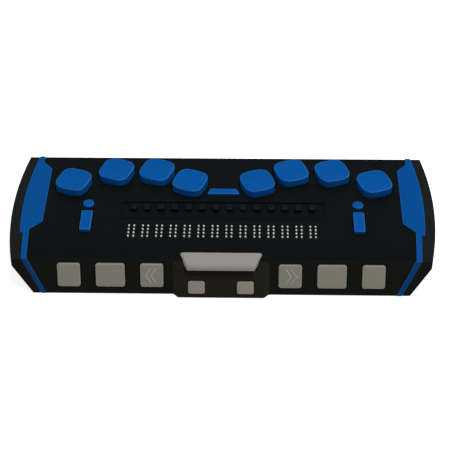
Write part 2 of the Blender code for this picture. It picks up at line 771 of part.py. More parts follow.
def build_cells():
    """Each cell: eight pins standing on eight stepped reeds, which one block clamps at the back."""
    clamp = block("cell_clamp", -CLAMP_WIDTH / 2, CLAMP_WIDTH / 2,
                  PIVOT_Y - CLAMP_FRONT, PIVOT_Y + CLAMP_BACK, REED_LOW_Z - REED_THICKNESS, REED_TOP_Z)
    reeds = []
    pins = []
    for x, y, row in PIN_PLACES:
        low = reed_z(row)
        reeds.append(block("reed", x - REED_WIDTH / 2, x + REED_WIDTH / 2, y - REED_TIP,
                           PIVOT_Y - CLAMP_FRONT + REED_SINK, low, low + REED_THICKNESS))
        top = DECK_Z + PIN_RISE
        pins.append(loft("pin", [ring(x, y, low + REED_THICKNESS / 2, PIN_RADIUS),
                                 ring(x, y, top - PIN_DOME, PIN_RADIUS),
                                 ring(x, y, top, PIN_RADIUS - PIN_DOME)]))
    add(clamp, merged("cell_reeds", reeds), merged("cell_pins", pins))
    mesh = bpy.data.meshes.new_from_object(clamp.evaluated_get(bpy.context.evaluated_depsgraph_get()))
    mesh.transform(Matrix.Translation((0, -PIVOT_Y, -PIVOT_Z)))
    for number, x in enumerate(CELL_PLACES, 1):
        cell = link(f"braille_cell_{number:02d}", mesh.copy(), PARTS, "pin_white")
        place(cell, Matrix.Translation((x, PIVOT_Y, PIVOT_Z)))


COVER_RECTANGLE = rectangle(-COVER_HALF, COVER_HALF, FRONT_Y + COVER_FRONT, FRONT_Y + COVER_BACK)
COVER_OUTLINE = round_corners(COVER_RECTANGLE, COVER_CORNER, 1)


def build_cell_cover():
    """The reading plate: a thin cover with a hole for each pin."""
    cover = slab("cell_cover", COVER_OUTLINE, DECK_Z - COVER_THICKNESS, DECK_Z, "cover_black")
    holes = [loft("hole", [ring(cell + x, y, DECK_Z - OVERRUN, PIN_HOLE_RADIUS),
                           ring(cell + x, y, DECK_Z + OVERRUN, PIN_HOLE_RADIUS)])
             for cell in CELL_PLACES for x, y, row in PIN_PLACES]
    cut(cover, merged("pin_holes", holes))
    seat = slab("cover_seat", offset_outline(COVER_OUTLINE, SEAT_GAP),
                DECK_Z - COVER_THICKNESS - SEAT_GAP, DECK_Z + OVERRUN)
    window = slab("cover_window", offset_outline(COVER_RECTANGLE, -COVER_LEDGE),
                  UNDER_DECK_Z - SEAT_GAP, DECK_Z + OVERRUN)
    return [seat, window]


# Keys, buttons and rockers on the deck

def on_deck(x, y):
    """A place on the deck, with local Z up."""
    return Matrix.Translation((x, y, DECK_Z))


def lip_length(width):
    """The full length of a lip that reaches under the wall on both sides of an opening."""
    return width + 2 * (SLIDE_GAP + LIP)


def build_keys():
    """Eight braille keys in two arcs; each returns its opening in the deck."""
    front_y = FRONT_Y + KEY_FRONT_ROW
    back_y = FRONT_Y + KEY_BACK_ROW
    rows = ((KEY_1_X, front_y, 1, 4), (KEY_2_X, back_y, 2, 5),
            (KEY_3_X, back_y, 3, 6), (KEY_7_X, front_y, 7, 8))
    openings = []
    for x, y, left, right in rows:
        for side, number in ((-1, left), (1, right)):
            name = f"key_dot_{number}"
            outline = squircle(KEY_WIDTH, KEY_DEPTH, side * KEY_TURN)
            ears = turned(centred(KEY_EAR_WIDTH, lip_length(KEY_DEPTH)), side * KEY_TURN)
            push_button(name, outline, KEY_PROUD, KEY_EDGE, ears, "key_blue", on_deck(side * x, y))
            openings.append(opening(name, outline, on_deck(side * x, y), WALL + SEAT_GAP))
    return openings


def build_menu_button():
    """A small trapezium between the two middle keys."""
    y = FRONT_Y + RECESS_BACK + MENU_SETBACK + MENU_DEPTH / 2
    corners = [(-MENU_FRONT_HALF, -MENU_DEPTH / 2), (MENU_FRONT_HALF, -MENU_DEPTH / 2),
               (MENU_BACK_HALF, MENU_DEPTH / 2), (-MENU_BACK_HALF, MENU_DEPTH / 2)]
    outline = round_corners(corners, MENU_CORNER, 2)
    lip = centred(MENU_BACK_HALF, lip_length(MENU_DEPTH))
    push_button("menu_button", outline, MENU_PROUD, MENU_CORNER, lip, "key_blue", on_deck(0, y))
    return [opening("menu_button", outline, on_deck(0, y), WALL + SEAT_GAP)]


def build_routers():
    """One cursor router button behind each cell, side by side in one slot of the recess floor."""
    floor = on_deck(0, ROUTER_Y) @ Matrix.Translation((0, 0, -ROUTER_RECESS))
    wall = WALL - ROUTER_RECESS
    width = CELL_PITCH - ROUTER_GAP
    outline = centred(width, ROUTER_LENGTH)
    lip = centred(CELL_PITCH / 2, lip_length(ROUTER_LENGTH))
    for number, x in enumerate(CELL_PLACES, 1):
        spot = floor @ Matrix.Translation((x, 0, 0))
        button = push_button(f"router_button_{number:02d}", outline, ROUTER_PROUD, COVER_CORNER, lip,
                             "router_black", spot, wall)
        scoop = circle(ROUTER_SCOOP_RADIUS, ROUTER_SCOOP_SIDES, 0, -ROUTER_LENGTH / 2)
        cut(button, slab(f"scoop_{number}", scoop, ROUTER_PROUD - ROUTER_SCOOP_DEPTH, OVERRUN,
                         placement=spot))
    slot = opening("router_slot", centred(2 * CELLS_HALF - 2 * SLIDE_GAP, ROUTER_LENGTH),
                   floor, wall + SEAT_GAP)
    front = FRONT_Y + COVER_BACK
    back = FRONT_Y + RECESS_BACK
    corners = rectangle(-COVER_HALF, COVER_HALF, front - 2 * RECESS_CORNER, back)
    recess = [point for point in round_corners(corners, RECESS_CORNER) if point.y > front]
    recess += [Vector((-COVER_HALF, front)), Vector((COVER_HALF, front))]
    return [slot, slab("router_recess", recess, DECK_Z - ROUTER_RECESS, DECK_Z + OVERRUN)]


def rocker(name, outline, width, proud, edge, look, placement):
    """A cap that tilts on two short trunnions under the wall; its origin is on the tilting axis."""
    depth = WALL + SEAT_GAP + TRUNNION_RADIUS
    pivot = placement @ Matrix.Translation((0, 0, -depth))
    cap = slab(name, outline, -TRUNNION_RADIUS, depth + proud, look, pivot)
    soften_rim(cap, depth + proud, edge)
    half = width / 2 + ROCK_GAP + LIP
    across = pivot @ Matrix.Rotation(pi / 2, 4, "Y")
    add(cap, slab(name + "_trunnions", circle(TRUNNION_RADIUS, TRUNNION_SIDES), -half, half,
                  placement=across))
    return cap


def build_navigation():
    """A round button behind a rocker on each side of the reading line."""
    openings = []
    rocker_y = READING_Y + NAV_ROCKER_OFFSET
    button_y = rocker_y + NAV_ROCKER_LENGTH / 2 + NAV_BUTTON_GAP + NAV_BUTTON_RADIUS
    bar = round_corners(centred(NAV_WIDTH, NAV_ROCKER_LENGTH), NAV_CORNER, 3)
    disc = circle(NAV_BUTTON_RADIUS, NAV_BUTTON_SIDES)
    lip = centred(lip_length(2 * NAV_BUTTON_RADIUS), NAV_BUTTON_RADIUS)
    for side, hand in ((-1, "left"), (1, "right")):
        rocker_spot = on_deck(side * NAV_X, rocker_y)
        button_spot = on_deck(side * NAV_X, button_y)
        rocker("nav_rocker_" + hand, bar, NAV_WIDTH, NAV_ROCKER_PROUD, NAV_CORNER / 2, "key_blue",
               rocker_spot)
        push_button("nav_button_" + hand, disc, NAV_BUTTON_PROUD, NAV_CORNER / 2, lip, "key_blue",
                    button_spot)
        openings.append(opening("nav_rocker_" + hand, bar, rocker_spot, WALL + SEAT_GAP, ROCK_GAP))
        openings.append(opening("nav_button_" + hand, disc, button_spot, WALL + SEAT_GAP))
    return openings


def build_space_bar():
    """The space bar: a falling trapezium that overhangs the nose, held under the deck at its back."""
    back_y = FRONT_Y + SPACE_SETBACK
    front_y = FRONT_Y - SPACE_OVERHANG
    back_z = deck_z(back_y) + SPACE_PROUD
    front_z = back_z - SPACE_FALL
    low_z = front_z - SPACE_DEPTH
    lip_z = deck_z(back_y) - WALL - SEAT_GAP
    lip_low_z = lip_z - LIP_THICKNESS
    corners = [(-SPACE_FRONT_HALF, front_y), (SPACE_FRONT_HALF, front_y),
               (SPACE_BACK_HALF, back_y), (-SPACE_BACK_HALF, back_y)]
    outline = round_corners(corners, SPACE_CORNER)
    bar = slab("space_bar", outline, low_z, back_z + OVERRUN, "bar_grey")
    fall = SPACE_FALL / (back_y - front_y)
    side = [Vector((front_y - OVERRUN, low_z - OVERRUN)), Vector((back_y + OVERRUN, low_z - OVERRUN)),
            Vector((back_y + OVERRUN, back_z + fall * OVERRUN)),
            Vector((front_y - OVERRUN, front_z - fall * OVERRUN))]
    keep(bar, slab("space_slope", side, -SPACE_BACK_HALF - OVERRUN, SPACE_BACK_HALF + OVERRUN,
                   placement=LENGTHWISE))
    soften(bar, SPACE_EDGE, radians(50))
    lip_front = back_y - SPACE_LIP_DEPTH / 2
    add(bar,
        block("space_root", -SPACE_LIP_HALF, SPACE_LIP_HALF, lip_front, back_y - SPACE_EDGE,
              lip_low_z, low_z + LIP_THICKNESS),
        block("space_lip", -SPACE_LIP_HALF, SPACE_LIP_HALF, lip_front, back_y + SLIDE_GAP + LIP,
              lip_low_z, lip_z))
    switch_z = BOARD_Z + SPACE_SWITCH_HEIGHT
    add(bar, block("space_stem", -SPACE_STEM_HALF, SPACE_STEM_HALF, lip_front, lip_front + SPACE_STEM_DEPTH,
                   switch_z + SPACE_TRAVEL + SEAT_GAP, lip_z - LIP_THICKNESS / 2))
    pocket = slab("space_pocket", offset_outline(outline, SLIDE_GAP),
                  low_z - SPACE_TRAVEL - SPACE_POCKET_SPARE, DECK_Z + OVERRUN)
    return [pocket]


# Buttons on the front

FACE_BUTTON_Z = (BASE_Z + FRONT_Z) / 2 + FACE_BUTTON_LIFT
SHIFT_Z = BASE_Z + SHIFT_LIFT + SHIFT_HEIGHT / 2


def chevron(tip, side):
    """One arrow head whose tip points away from the middle of the case."""
    inner = CHEVRON_REACH
    points = [Vector((tip, 0)), Vector((tip - inner, CHEVRON_HALF)),
              Vector((tip - inner - CHEVRON_WIDTH, CHEVRON_HALF)), Vector((tip - CHEVRON_WIDTH, 0)),
              Vector((tip - inner - CHEVRON_WIDTH, -CHEVRON_HALF)), Vector((tip - inner, -CHEVRON_HALF))]
    return mirrored(points, side)


def build_face_buttons():
    """A panning button, a rocker bar and a selector on each half of the raked face."""
    openings = []
    for side, hand in ((-1, "left"), (1, "right")):
        for kind, x, width in (("panning_button_", PAN_X, PAN_WIDTH),
                               ("selector_button_", SELECTOR_X, SELECTOR_WIDTH)):
            name = kind + hand
            spot = face_frame(side * x, FACE_BUTTON_Z)
            outline = round_corners(centred(width, FACE_BUTTON_HEIGHT), FACE_BUTTON_CORNER, 3)
            lip = centred(lip_length(width), FACE_LIP_HEIGHT)
            button = push_button(name, outline, FACE_BUTTON_PROUD, FACE_BUTTON_EDGE, lip, "button_grey", spot)
            if kind == "panning_button_":
                for number in range(2):
                    tip = CHEVRON_STEP * (1 - number) + CHEVRON_WIDTH
                    add(button, slab(f"{name}_chevron_{number}", chevron(tip, side),
                                     FACE_BUTTON_PROUD - CHEVRON_RISE, FACE_BUTTON_PROUD + CHEVRON_RISE,
                                     placement=spot))
            openings.append(opening(name, outline, spot, WALL + LIP_THICKNESS + FACE_TRAVEL))
        name = "rocker_bar_" + hand
        spot = face_frame(side * BAR_X, FACE_BUTTON_Z)
        outline = round_corners(centred(BAR_WIDTH, FACE_BUTTON_HEIGHT), FACE_BUTTON_CORNER, 3)
        rocker(name, outline, BAR_WIDTH, FACE_BUTTON_PROUD, FACE_BUTTON_EDGE, "button_grey", spot)
        openings.append(opening(name, outline, spot, WALL + LIP_THICKNESS + FACE_TRAVEL, ROCK_GAP))
    return openings


def build_shift_buttons():
    """Two shift buttons on the nose: a cap in a pocket, on a smaller neck through the thick wall."""
    openings = []
    outline = round_corners(centred(SHIFT_WIDTH, SHIFT_HEIGHT), SHIFT_CORNER, 3)
    raised = Vector((0, SHIFT_NECK_RAISE))
    neck = [point + raised for point in centred(SHIFT_NECK_WIDTH, SHIFT_NECK_HEIGHT)]
    lip = [point + raised for point in centred(lip_length(SHIFT_NECK_WIDTH), SHIFT_NECK_HEIGHT)]
    pocket_depth = SHIFT_CAP_DEPTH + FACE_TRAVEL + SEAT_GAP
    for side, hand in ((-1, "left"), (1, "right")):
        name = "shift_button_" + hand
        spot = nose_frame(side * SHIFT_X, SHIFT_Z)
        inner_y = face_y(SHIFT_Z) + WALL / cos(FACE_TILT)
        wall = (inner_y - spot.translation.y) * spot.to_3x3().col[1].z
        low = -wall - SEAT_GAP - LIP_THICKNESS
        cap = slab(name, outline, -SHIFT_CAP_DEPTH, SHIFT_PROUD, "button_grey", spot)
        soften_rim(cap, SHIFT_PROUD, FACE_BUTTON_EDGE)
        add(cap, slab(name + "_neck", neck, low, -SHIFT_CAP_DEPTH / 2, placement=spot),
            slab(name + "_lip", lip, low, low + LIP_THICKNESS, placement=spot))
        openings.append(opening(name, outline, spot, pocket_depth))
        openings.append(opening(name + "_neck", neck, spot, wall + SEAT_GAP + LIP_THICKNESS))
    return openings


# Inner frame, electronics and back wall

SHELF_HALF = TRIM_INNER_X - SHELF_TRIM_GAP
SHELF_BACK = BACK_Y - WALL - SHELF_WALL_GAP
WING_FRONT = READING_Y + NAV_ROCKER_OFFSET - NAV_ROCKER_LENGTH / 2 - SHELF_EDGE
WING_X = NAV_X - NAV_WIDTH / 2 - WING_MARGIN
LEG_INSET = LEG_SIZE / 2 + SEAT_GAP
LEG_X = SHELF_HALF - LEG_INSET


def switch_domes():
    """Domes below the buttons on the deck, each as high as its button's travel leaves room for."""
    root = SHELF_Z - SHELF_THICKNESS / 2
    front_y = FRONT_Y + KEY_FRONT_ROW
    back_y = FRONT_Y + KEY_BACK_ROW
    rocker_y = READING_Y + NAV_ROCKER_OFFSET
    button_y = rocker_y + NAV_ROCKER_LENGTH / 2 + NAV_BUTTON_GAP + NAV_BUTTON_RADIUS
    reach = NAV_ROCKER_LENGTH / 2 - DOME_RADIUS
    rocker_sink = 2 * TRUNNION_RADIUS - LIP_THICKNESS + NAV_ROCKER_LENGTH / 2 * sin(ROCK_ANGLE)
    places = [(KEY_1_X, front_y, KEY_TRAVEL), (KEY_2_X, back_y, KEY_TRAVEL),
              (KEY_3_X, back_y, KEY_TRAVEL), (KEY_7_X, front_y, KEY_TRAVEL),
              (NAV_X, rocker_y - reach, rocker_sink), (NAV_X, rocker_y + reach, rocker_sink),
              (NAV_X, button_y, NAV_BUTTON_TRAVEL)]
    domes = [slab("dome", circle(DOME_RADIUS, DOME_SIDES, side * x, y), root, LIP_LOW_Z - sink - SEAT_GAP)
             for x, y, sink in places for side in (-1, 1)]
    menu_y = FRONT_Y + RECESS_BACK + MENU_SETBACK + MENU_DEPTH / 2
    domes.append(slab("dome", circle(DOME_RADIUS, DOME_SIDES, 0, menu_y),
                      root, LIP_LOW_Z - MENU_TRAVEL - SEAT_GAP))
    domes.append(block("router_strip", -CELLS_HALF, CELLS_HALF, ROUTER_Y - SHELF_EDGE, ROUTER_Y + SHELF_EDGE,
                       root, LIP_LOW_Z - ROUTER_TRAVEL - SEAT_GAP))
    return domes


def build_inner_frame():
    """A comb that takes the reed clamps, under a shelf whose domes stand below the keys."""
    shelf_front = FRONT_Y + ROUTER_FRONT - SHELF_EDGE / 2
    outline = [Vector(point) for point in (
        (-SHELF_HALF, WING_FRONT), (-WING_X, WING_FRONT), (-WING_X, shelf_front), (WING_X, shelf_front),
        (WING_X, WING_FRONT), (SHELF_HALF, WING_FRONT), (SHELF_HALF, SHELF_BACK), (-SHELF_HALF, SHELF_BACK))]
    frame = slab("inner_frame", outline, SHELF_LOW_Z, SHELF_Z, "frame_grey")
    low = PLATE_Z + SEAT_GAP
    high = SHELF_LOW_Z + SHELF_THICKNESS / 2
    root = PIVOT_Y + CLAMP_BACK + SEAT_GAP
    add(frame, block("comb_wall", -CELLS_HALF - COMB_TOOTH, CELLS_HALF + COMB_TOOTH, root, root + COMB_WALL,
                     low, high))
    places = [number * CELL_PITCH - CELLS_HALF for number in range(CELL_COUNT + 1)]
    teeth = [block("tooth", x - COMB_TOOTH / 2, x + COMB_TOOTH / 2,
                   PIVOT_Y - CLAMP_FRONT, root + COMB_WALL / 2, low + SEAT_GAP, high) for x in places]
    add(frame, merged("comb_teeth", teeth))
    legs = [block("leg", x - LEG_SIZE / 2, x + LEG_SIZE / 2, y - LEG_SIZE / 2, y + LEG_SIZE / 2, low, high)
            for x in (-LEG_X, LEG_X) for y in (WING_FRONT + LEG_INSET, SHELF_BACK - LEG_INSET)]
    add(frame, merged("legs", legs))
    add(frame, merged("switch_domes", switch_domes()))


INNER_EDGE = CELLS_HALF + WING_MARGIN
OUTER_EDGE = LEG_X - LEG_SIZE / 2 - SEAT_GAP
BOARD_BACK = BACK_Y - WALL - LIP_THICKNESS - POWER_TRAVEL - 2 * SEAT_GAP
STRIP_FRONT = FRONT_Y + STRIP_SETBACK
SOCKET_Z = BOARD_Z + SEAT_GAP + SOCKET_HEIGHT / 2


def build_main_board():
    """An L-shaped circuit board with the switches behind the front and power buttons."""
    strip_back = STRIP_FRONT + STRIP_DEPTH
    outline = [Vector(point) for point in (
        (-OUTER_EDGE, STRIP_FRONT), (OUTER_EDGE, STRIP_FRONT), (OUTER_EDGE, strip_back),
        (-INNER_EDGE, strip_back), (-INNER_EDGE, BOARD_BACK), (-OUTER_EDGE, BOARD_BACK))]
    board = slab("main_board", outline, BOARD_LOW_Z, BOARD_Z, "board_green")
    root = BOARD_Z - BOARD_THICKNESS / 2
    top = BOARD_Z + SWITCH_HEIGHT
    front = face_y(top) + (WALL + SEAT_GAP + LIP_THICKNESS + FACE_TRAVEL + SEAT_GAP) / cos(FACE_TILT)
    switches = [block("switch", x - SWITCH_HALF, x + SWITCH_HALF, front, front + SWITCH_DEPTH, root, top)
                for side in (-1, 1) for x in (side * PAN_X, side * BAR_X, side * SELECTOR_X, side * SHIFT_X)]
    space_y = FRONT_Y + SPACE_SETBACK - SPACE_LIP_DEPTH / 2
    switches.append(block("switch", -SWITCH_HALF, SWITCH_HALF, space_y, space_y + SWITCH_DEPTH,
                          root, BOARD_Z + SPACE_SWITCH_HEIGHT))
    power_y = BOARD_BACK - SWITCH_DEPTH - SEAT_GAP
    switches.append(block("switch", POWER_X - SWITCH_HALF, POWER_X + SWITCH_HALF,
                          power_y, power_y + SWITCH_DEPTH, root, top))
    add(board, merged("switches", switches))


def build_battery():
    """A flat cell pack beside the reeds, on the side away from the board."""
    low = PLATE_Z + SEAT_GAP
    pack = block("battery", INNER_EDGE, OUTER_EDGE, WING_FRONT, SHELF_BACK - BATTERY_END_GAP,
                 low, low + BATTERY_THICKNESS, "battery_silver")
    soften(pack, BATTERY_EDGE, radians(60))


def build_socket():
    """The charging and data socket: a steel shell round a tongue, open at the back wall."""
    spot = back_frame(SOCKET_X, SOCKET_Z)
    outline = round_corners(centred(SOCKET_WIDTH, SOCKET_HEIGHT), SOCKET_CORNER, 2)
    floor = SOCKET_BACK - SOCKET_LENGTH
    shell = slab("usb_socket", outline, -SOCKET_LENGTH, 0, "socket_steel", spot)
    cut(shell, slab("socket_mouth", offset_outline(outline, -SOCKET_SKIN), floor, OVERRUN, placement=spot))
    add(shell, slab("socket_tongue", centred(TONGUE_WIDTH, TONGUE_THICKNESS), floor - SOCKET_SKIN,
                    -TONGUE_INSET, placement=spot))
    return [opening("usb_socket", outline, spot, WALL + SEAT_GAP, SEAT_GAP)]


def build_power_button():
    """A round button in a shallow dish of the back wall."""
    spot = back_frame(POWER_X, SOCKET_Z)
    floor = spot @ Matrix.Translation((0, 0, -POWER_DISH_DEPTH))
    disc = circle(POWER_RADIUS, POWER_SIDES)
    lip = centred(lip_length(2 * POWER_RADIUS), POWER_RADIUS)
    wall = WALL - POWER_DISH_DEPTH
    push_button("power_button", disc, POWER_PROUD, POWER_PROUD / 2, lip, "router_black", floor, wall)
    dish = slab("power_dish", circle(POWER_DISH_RADIUS, POWER_SIDES), 0, OVERRUN, placement=floor)
    return [dish, opening("power_button", disc, floor, wall + SEAT_GAP)]


def build_display():
    """Builds every piece; what passes through the shell hands over its opening."""
    openings = build_keys() + build_menu_button() + build_routers() + build_navigation()
    openings += build_space_bar() + build_face_buttons() + build_shift_buttons()
    openings += build_cell_cover() + build_socket() + build_power_button()
    build_top_case(build_trims(), openings)
    build_bottom_case()
    build_cells()
    build_inner_frame()
    build_main_board()
    build_battery()
    for piece in PARTS.objects:
        piece.data.shade_smooth()
        piece.data.set_sharp_from_angle(angle=radians(35))


build_display()
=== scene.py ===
"""Refreshable braille display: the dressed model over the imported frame."""
import bmesh
import bpy
from math import atan2, cos, pi, radians, sin, sqrt, tan
from mathutils import Matrix, Vector


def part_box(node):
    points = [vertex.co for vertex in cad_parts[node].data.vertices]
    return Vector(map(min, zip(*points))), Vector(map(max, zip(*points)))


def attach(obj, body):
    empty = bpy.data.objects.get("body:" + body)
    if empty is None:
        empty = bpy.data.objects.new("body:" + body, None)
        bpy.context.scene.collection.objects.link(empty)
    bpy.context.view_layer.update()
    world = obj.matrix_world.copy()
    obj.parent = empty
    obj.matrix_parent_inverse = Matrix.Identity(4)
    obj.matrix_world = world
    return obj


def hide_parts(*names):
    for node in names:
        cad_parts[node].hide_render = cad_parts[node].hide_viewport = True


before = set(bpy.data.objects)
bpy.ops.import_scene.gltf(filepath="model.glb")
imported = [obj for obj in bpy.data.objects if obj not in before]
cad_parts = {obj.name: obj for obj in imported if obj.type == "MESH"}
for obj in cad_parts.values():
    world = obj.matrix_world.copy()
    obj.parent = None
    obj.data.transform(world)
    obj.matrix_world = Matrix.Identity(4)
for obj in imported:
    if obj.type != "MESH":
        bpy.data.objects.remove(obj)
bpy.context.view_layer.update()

# Camera: the photograph's view
ELEVATION = radians(40.599)
YAW = radians(-1.795)
ROLL = radians(-0.713)
DISTANCE = 0.639288
SHIFT_RIGHT = -0.001744
SHIFT_UP = -0.002446
TARGET = Vector((-0.0003, -0.0143, 0.0181))
FOCAL_PIXELS = 1400
FRAME_PIXELS = 450
SENSOR_WIDTH = 36
FLOOR_HALF = 6
FLOOR_GLOW = 0.76

# Sizes of the housing and its openings, in metres
GAP = 0.00015
FLARE = 0.0002
OVERRUN = 0.0060
TRIM_GAP = GAP * 0.7
SPACE_GAP = GAP * 1.4
WALL = 0.0020
SIDE_BULGE = 0.0036
SIDE_BAND = 0.0045
SIDE_INSET = 0.0081
SIDE_BORDER = 0.0047
BAND_DEPTH = 0.0113
BAND_DROP = 0.0009
FRONT_RAKE = 0.0051
NOSE_REACH = 0.0028
NOSE_FOOT_HALF = 0.0194
NOSE_ROOT_HALF = 0.0220
NOSE_TOP_HALF = 0.0160
NOSE_TOP_SHARE = 0.62
NOSE_TOP_REACH_SHARE = 0.70
NOSE_ROOT_DROP = 0.0003
NOSE_ROOT_DEPTH = 0.0012
COVER_SETBACK = 0.0005
COVER_THICKNESS = 0.0010
COVER_LEDGE = 0.0010
DOT_SETBACK = 0.0069
PIN_PITCH = 0.0024
ROUTER_STRIP = 0.0054
ROUTER_LENGTH = 0.0054
ROUTER_RECESS = 0.0006
ROUTER_BACK_MARGIN = 0.0010
RECESS_CORNER = 0.0025
FRONT_CORNER = 0.0008
TRIM_WIDTH = 0.0104
TRIM_SINK = 0.0009
TRIM_PROUD = 0.0003
STRIPE_WIDTH = 0.0024
STRIPE_FOOT_WIDTH = 0.0020
STRIPE_LEAN = 0.0083
STRIPE_STEP = 0.0015
TRIM_HEEL_LENGTH = 0.0167
TRIM_BEND_LENGTH = 0.0022
TRIM_BEND_REACH = 0.0058
TRIM_NECK_LENGTH = 0.0044
TRIM_SHOULDER = 0.0049
TRIM_CORNER = 0.0006
TRIM_FOOT_RISE = 0.0001
SKIRT_DROP = 0.0006
SMALL_CORNER = 0.0005
TRIM_EDGE = 0.00014
FINE_EDGE = 0.00015
SHELL_EDGE = 0.0002
CLAMP_EDGE = 0.0003
NOSE_EDGE = 0.00035
LIP_DROP = 0.0012
LIP_THICKNESS = 0.0009
LIP_SPREAD = 0.00224
FACETS = 36

# Places read from the solids
CASE_LOW, CASE_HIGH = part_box("top_case")
COVER_LOW, COVER_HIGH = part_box("cell_cover")
PLATE_LOW, PLATE_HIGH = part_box("bottom_case")
HALF_WIDTH = CASE_HIGH.x
BASE_Z = CASE_LOW.z - SKIRT_DROP
DECK_Z = COVER_HIGH.z
NOSE_Y = CASE_LOW.y
BACK_Y = CASE_HIGH.y
FRONT_Y = COVER_LOW.y - BAND_DEPTH - COVER_SETBACK
FACE_FOOT_Y = FRONT_Y - FRONT_RAKE
CREASE_Y = FRONT_Y + BAND_DEPTH
READING_Y = COVER_LOW.y + DOT_SETBACK
BAND_Z = DECK_Z - SIDE_BAND
FRONT_Z = DECK_Z - BAND_DROP
PLATE_Z = PLATE_HIGH.z
UNDER_DECK_Z = DECK_Z - WALL
FACE_HEIGHT = FRONT_Z - BASE_Z
FACE_TILT = atan2(FRONT_RAKE, FACE_HEIGHT)
DECK_DEPTH = BACK_Y - FRONT_Y
SIDE_MIDDLE_Y = (FRONT_Y + BACK_Y) / 2
SIDE_RADIUS = ((DECK_DEPTH / 2) ** 2 + SIDE_BULGE ** 2) / (2 * SIDE_BULGE)
TRIM_INNER_X = HALF_WIDTH - SIDE_BORDER - TRIM_WIDTH
COVER_HALF = COVER_HIGH.x
UNDER_ALL = BASE_Z - OVERRUN
ABOVE_ALL = DECK_Z + OVERRUN
LIP_Z = -WALL - LIP_DROP
THROUGH = WALL + GAP
LENGTHWISE = Matrix(((0, 0, 1, 0), (1, 0, 0, 0), (0, 1, 0, 0), (0, 0, 0, 1)))
SIDES = ((-1, "left"), (1, "right"))


# Camera, light and floor

def make_camera():
    """The photograph's own viewpoint."""
    right = Vector((cos(YAW), -sin(YAW), 0))
    ahead = Vector((sin(YAW), cos(YAW), 0))
    view = ahead * cos(ELEVATION) - Vector((0, 0, sin(ELEVATION)))
    up = ahead * sin(ELEVATION) + Vector((0, 0, cos(ELEVATION)))
    place = TARGET - view * DISTANCE - right * SHIFT_RIGHT - up * SHIFT_UP
    side = right * cos(ROLL) + up * sin(ROLL)
    top = up * cos(ROLL) - right * sin(ROLL)
    data = bpy.data.cameras.new("camera")
    data.sensor_width = SENSOR_WIDTH
    data.lens = SENSOR_WIDTH * FOCAL_PIXELS / FRAME_PIXELS
    data.clip_start = 0.01
    turned = Matrix((side, top, -view)).transposed().to_4x4()
    bpy.context.scene.camera = link("camera", data, Matrix.Translation(place) @ turned)


def make_light(place, size, power):
    """A soft round lamp that faces the object."""
    data = bpy.data.lights.new("key_light", "AREA")
    data.shape = "DISK"
    data.size = size
    data.energy = power
    lamp = link("key_light", data)
    lamp.location = place
    lamp.rotation_euler = (-Vector(place)).to_track_quat("-Z", "Y").to_euler()


def calculate(tree, operation, first, second):
    """A value worked out from two others; the second may be a plain number."""
    made = tree.nodes.new("ShaderNodeMath")
    made.operation = operation
    tree.links.new(first, made.inputs[0])
    if isinstance(second, float):
        made.inputs[1].default_value = second
    else:
        tree.links.new(second, made.inputs[1])
    return made.outputs[0]


def seen_rays(tree):
    """One for the rays that show a background: camera, glossy and transmission rays."""
    path = tree.nodes.new("ShaderNodeLightPath")
    seen = path.outputs["Is Camera Ray"]
    for kind in ("Is Glossy Ray", "Is Transmission Ray"):
        seen = calculate(tree, "MAXIMUM", seen, path.outputs[kind])
    return seen


def make_world(strength):
    """A white background whose light on the object is weaker than it looks."""
    world = bpy.data.worlds.new("studio")
    bpy.context.scene.world = world
    world.use_nodes = True
    tree = world.node_tree
    back = tree.nodes["Background"]
    back.inputs["Color"].default_value = (1, 1, 1, 1)
    shown = calculate(tree, "MULTIPLY", seen_rays(tree), 1 - strength)
    tree.links.new(calculate(tree, "ADD", shown, strength), back.inputs["Strength"])


def make_floor():
    """A plain white table top that keeps the object's shadow."""
    mesh = bpy.data.meshes.new("floor")
    corners = [(x * FLOOR_HALF, y * FLOOR_HALF, 0) for x, y in ((-1, -1), (1, -1), (1, 1), (-1, 1))]
    mesh.from_pydata(corners, [], [range(4)])
    material = bpy.data.materials.new("floor")
    material.use_nodes = True
    tree = material.node_tree
    tree.nodes.clear()
    diffuse = tree.nodes.new("ShaderNodeBsdfDiffuse")
    diffuse.inputs["Color"].default_value = (0.80, 0.80, 0.80, 1)
    glow = tree.nodes.new("ShaderNodeEmission")
    both = tree.nodes.new("ShaderNodeAddShader")
    out = tree.nodes.new("ShaderNodeOutputMaterial")
    tree.links.new(calculate(tree, "MULTIPLY", seen_rays(tree), FLOOR_GLOW), glow.inputs["Strength"])
    tree.links.new(diffuse.outputs[0], both.inputs[0])
    tree.links.new(glow.outputs[0], both.inputs[1])
    tree.links.new(both.outputs[0], out.inputs["Surface"])
    mesh.materials.append(material)
    floor = link("floor", mesh)


# Materials

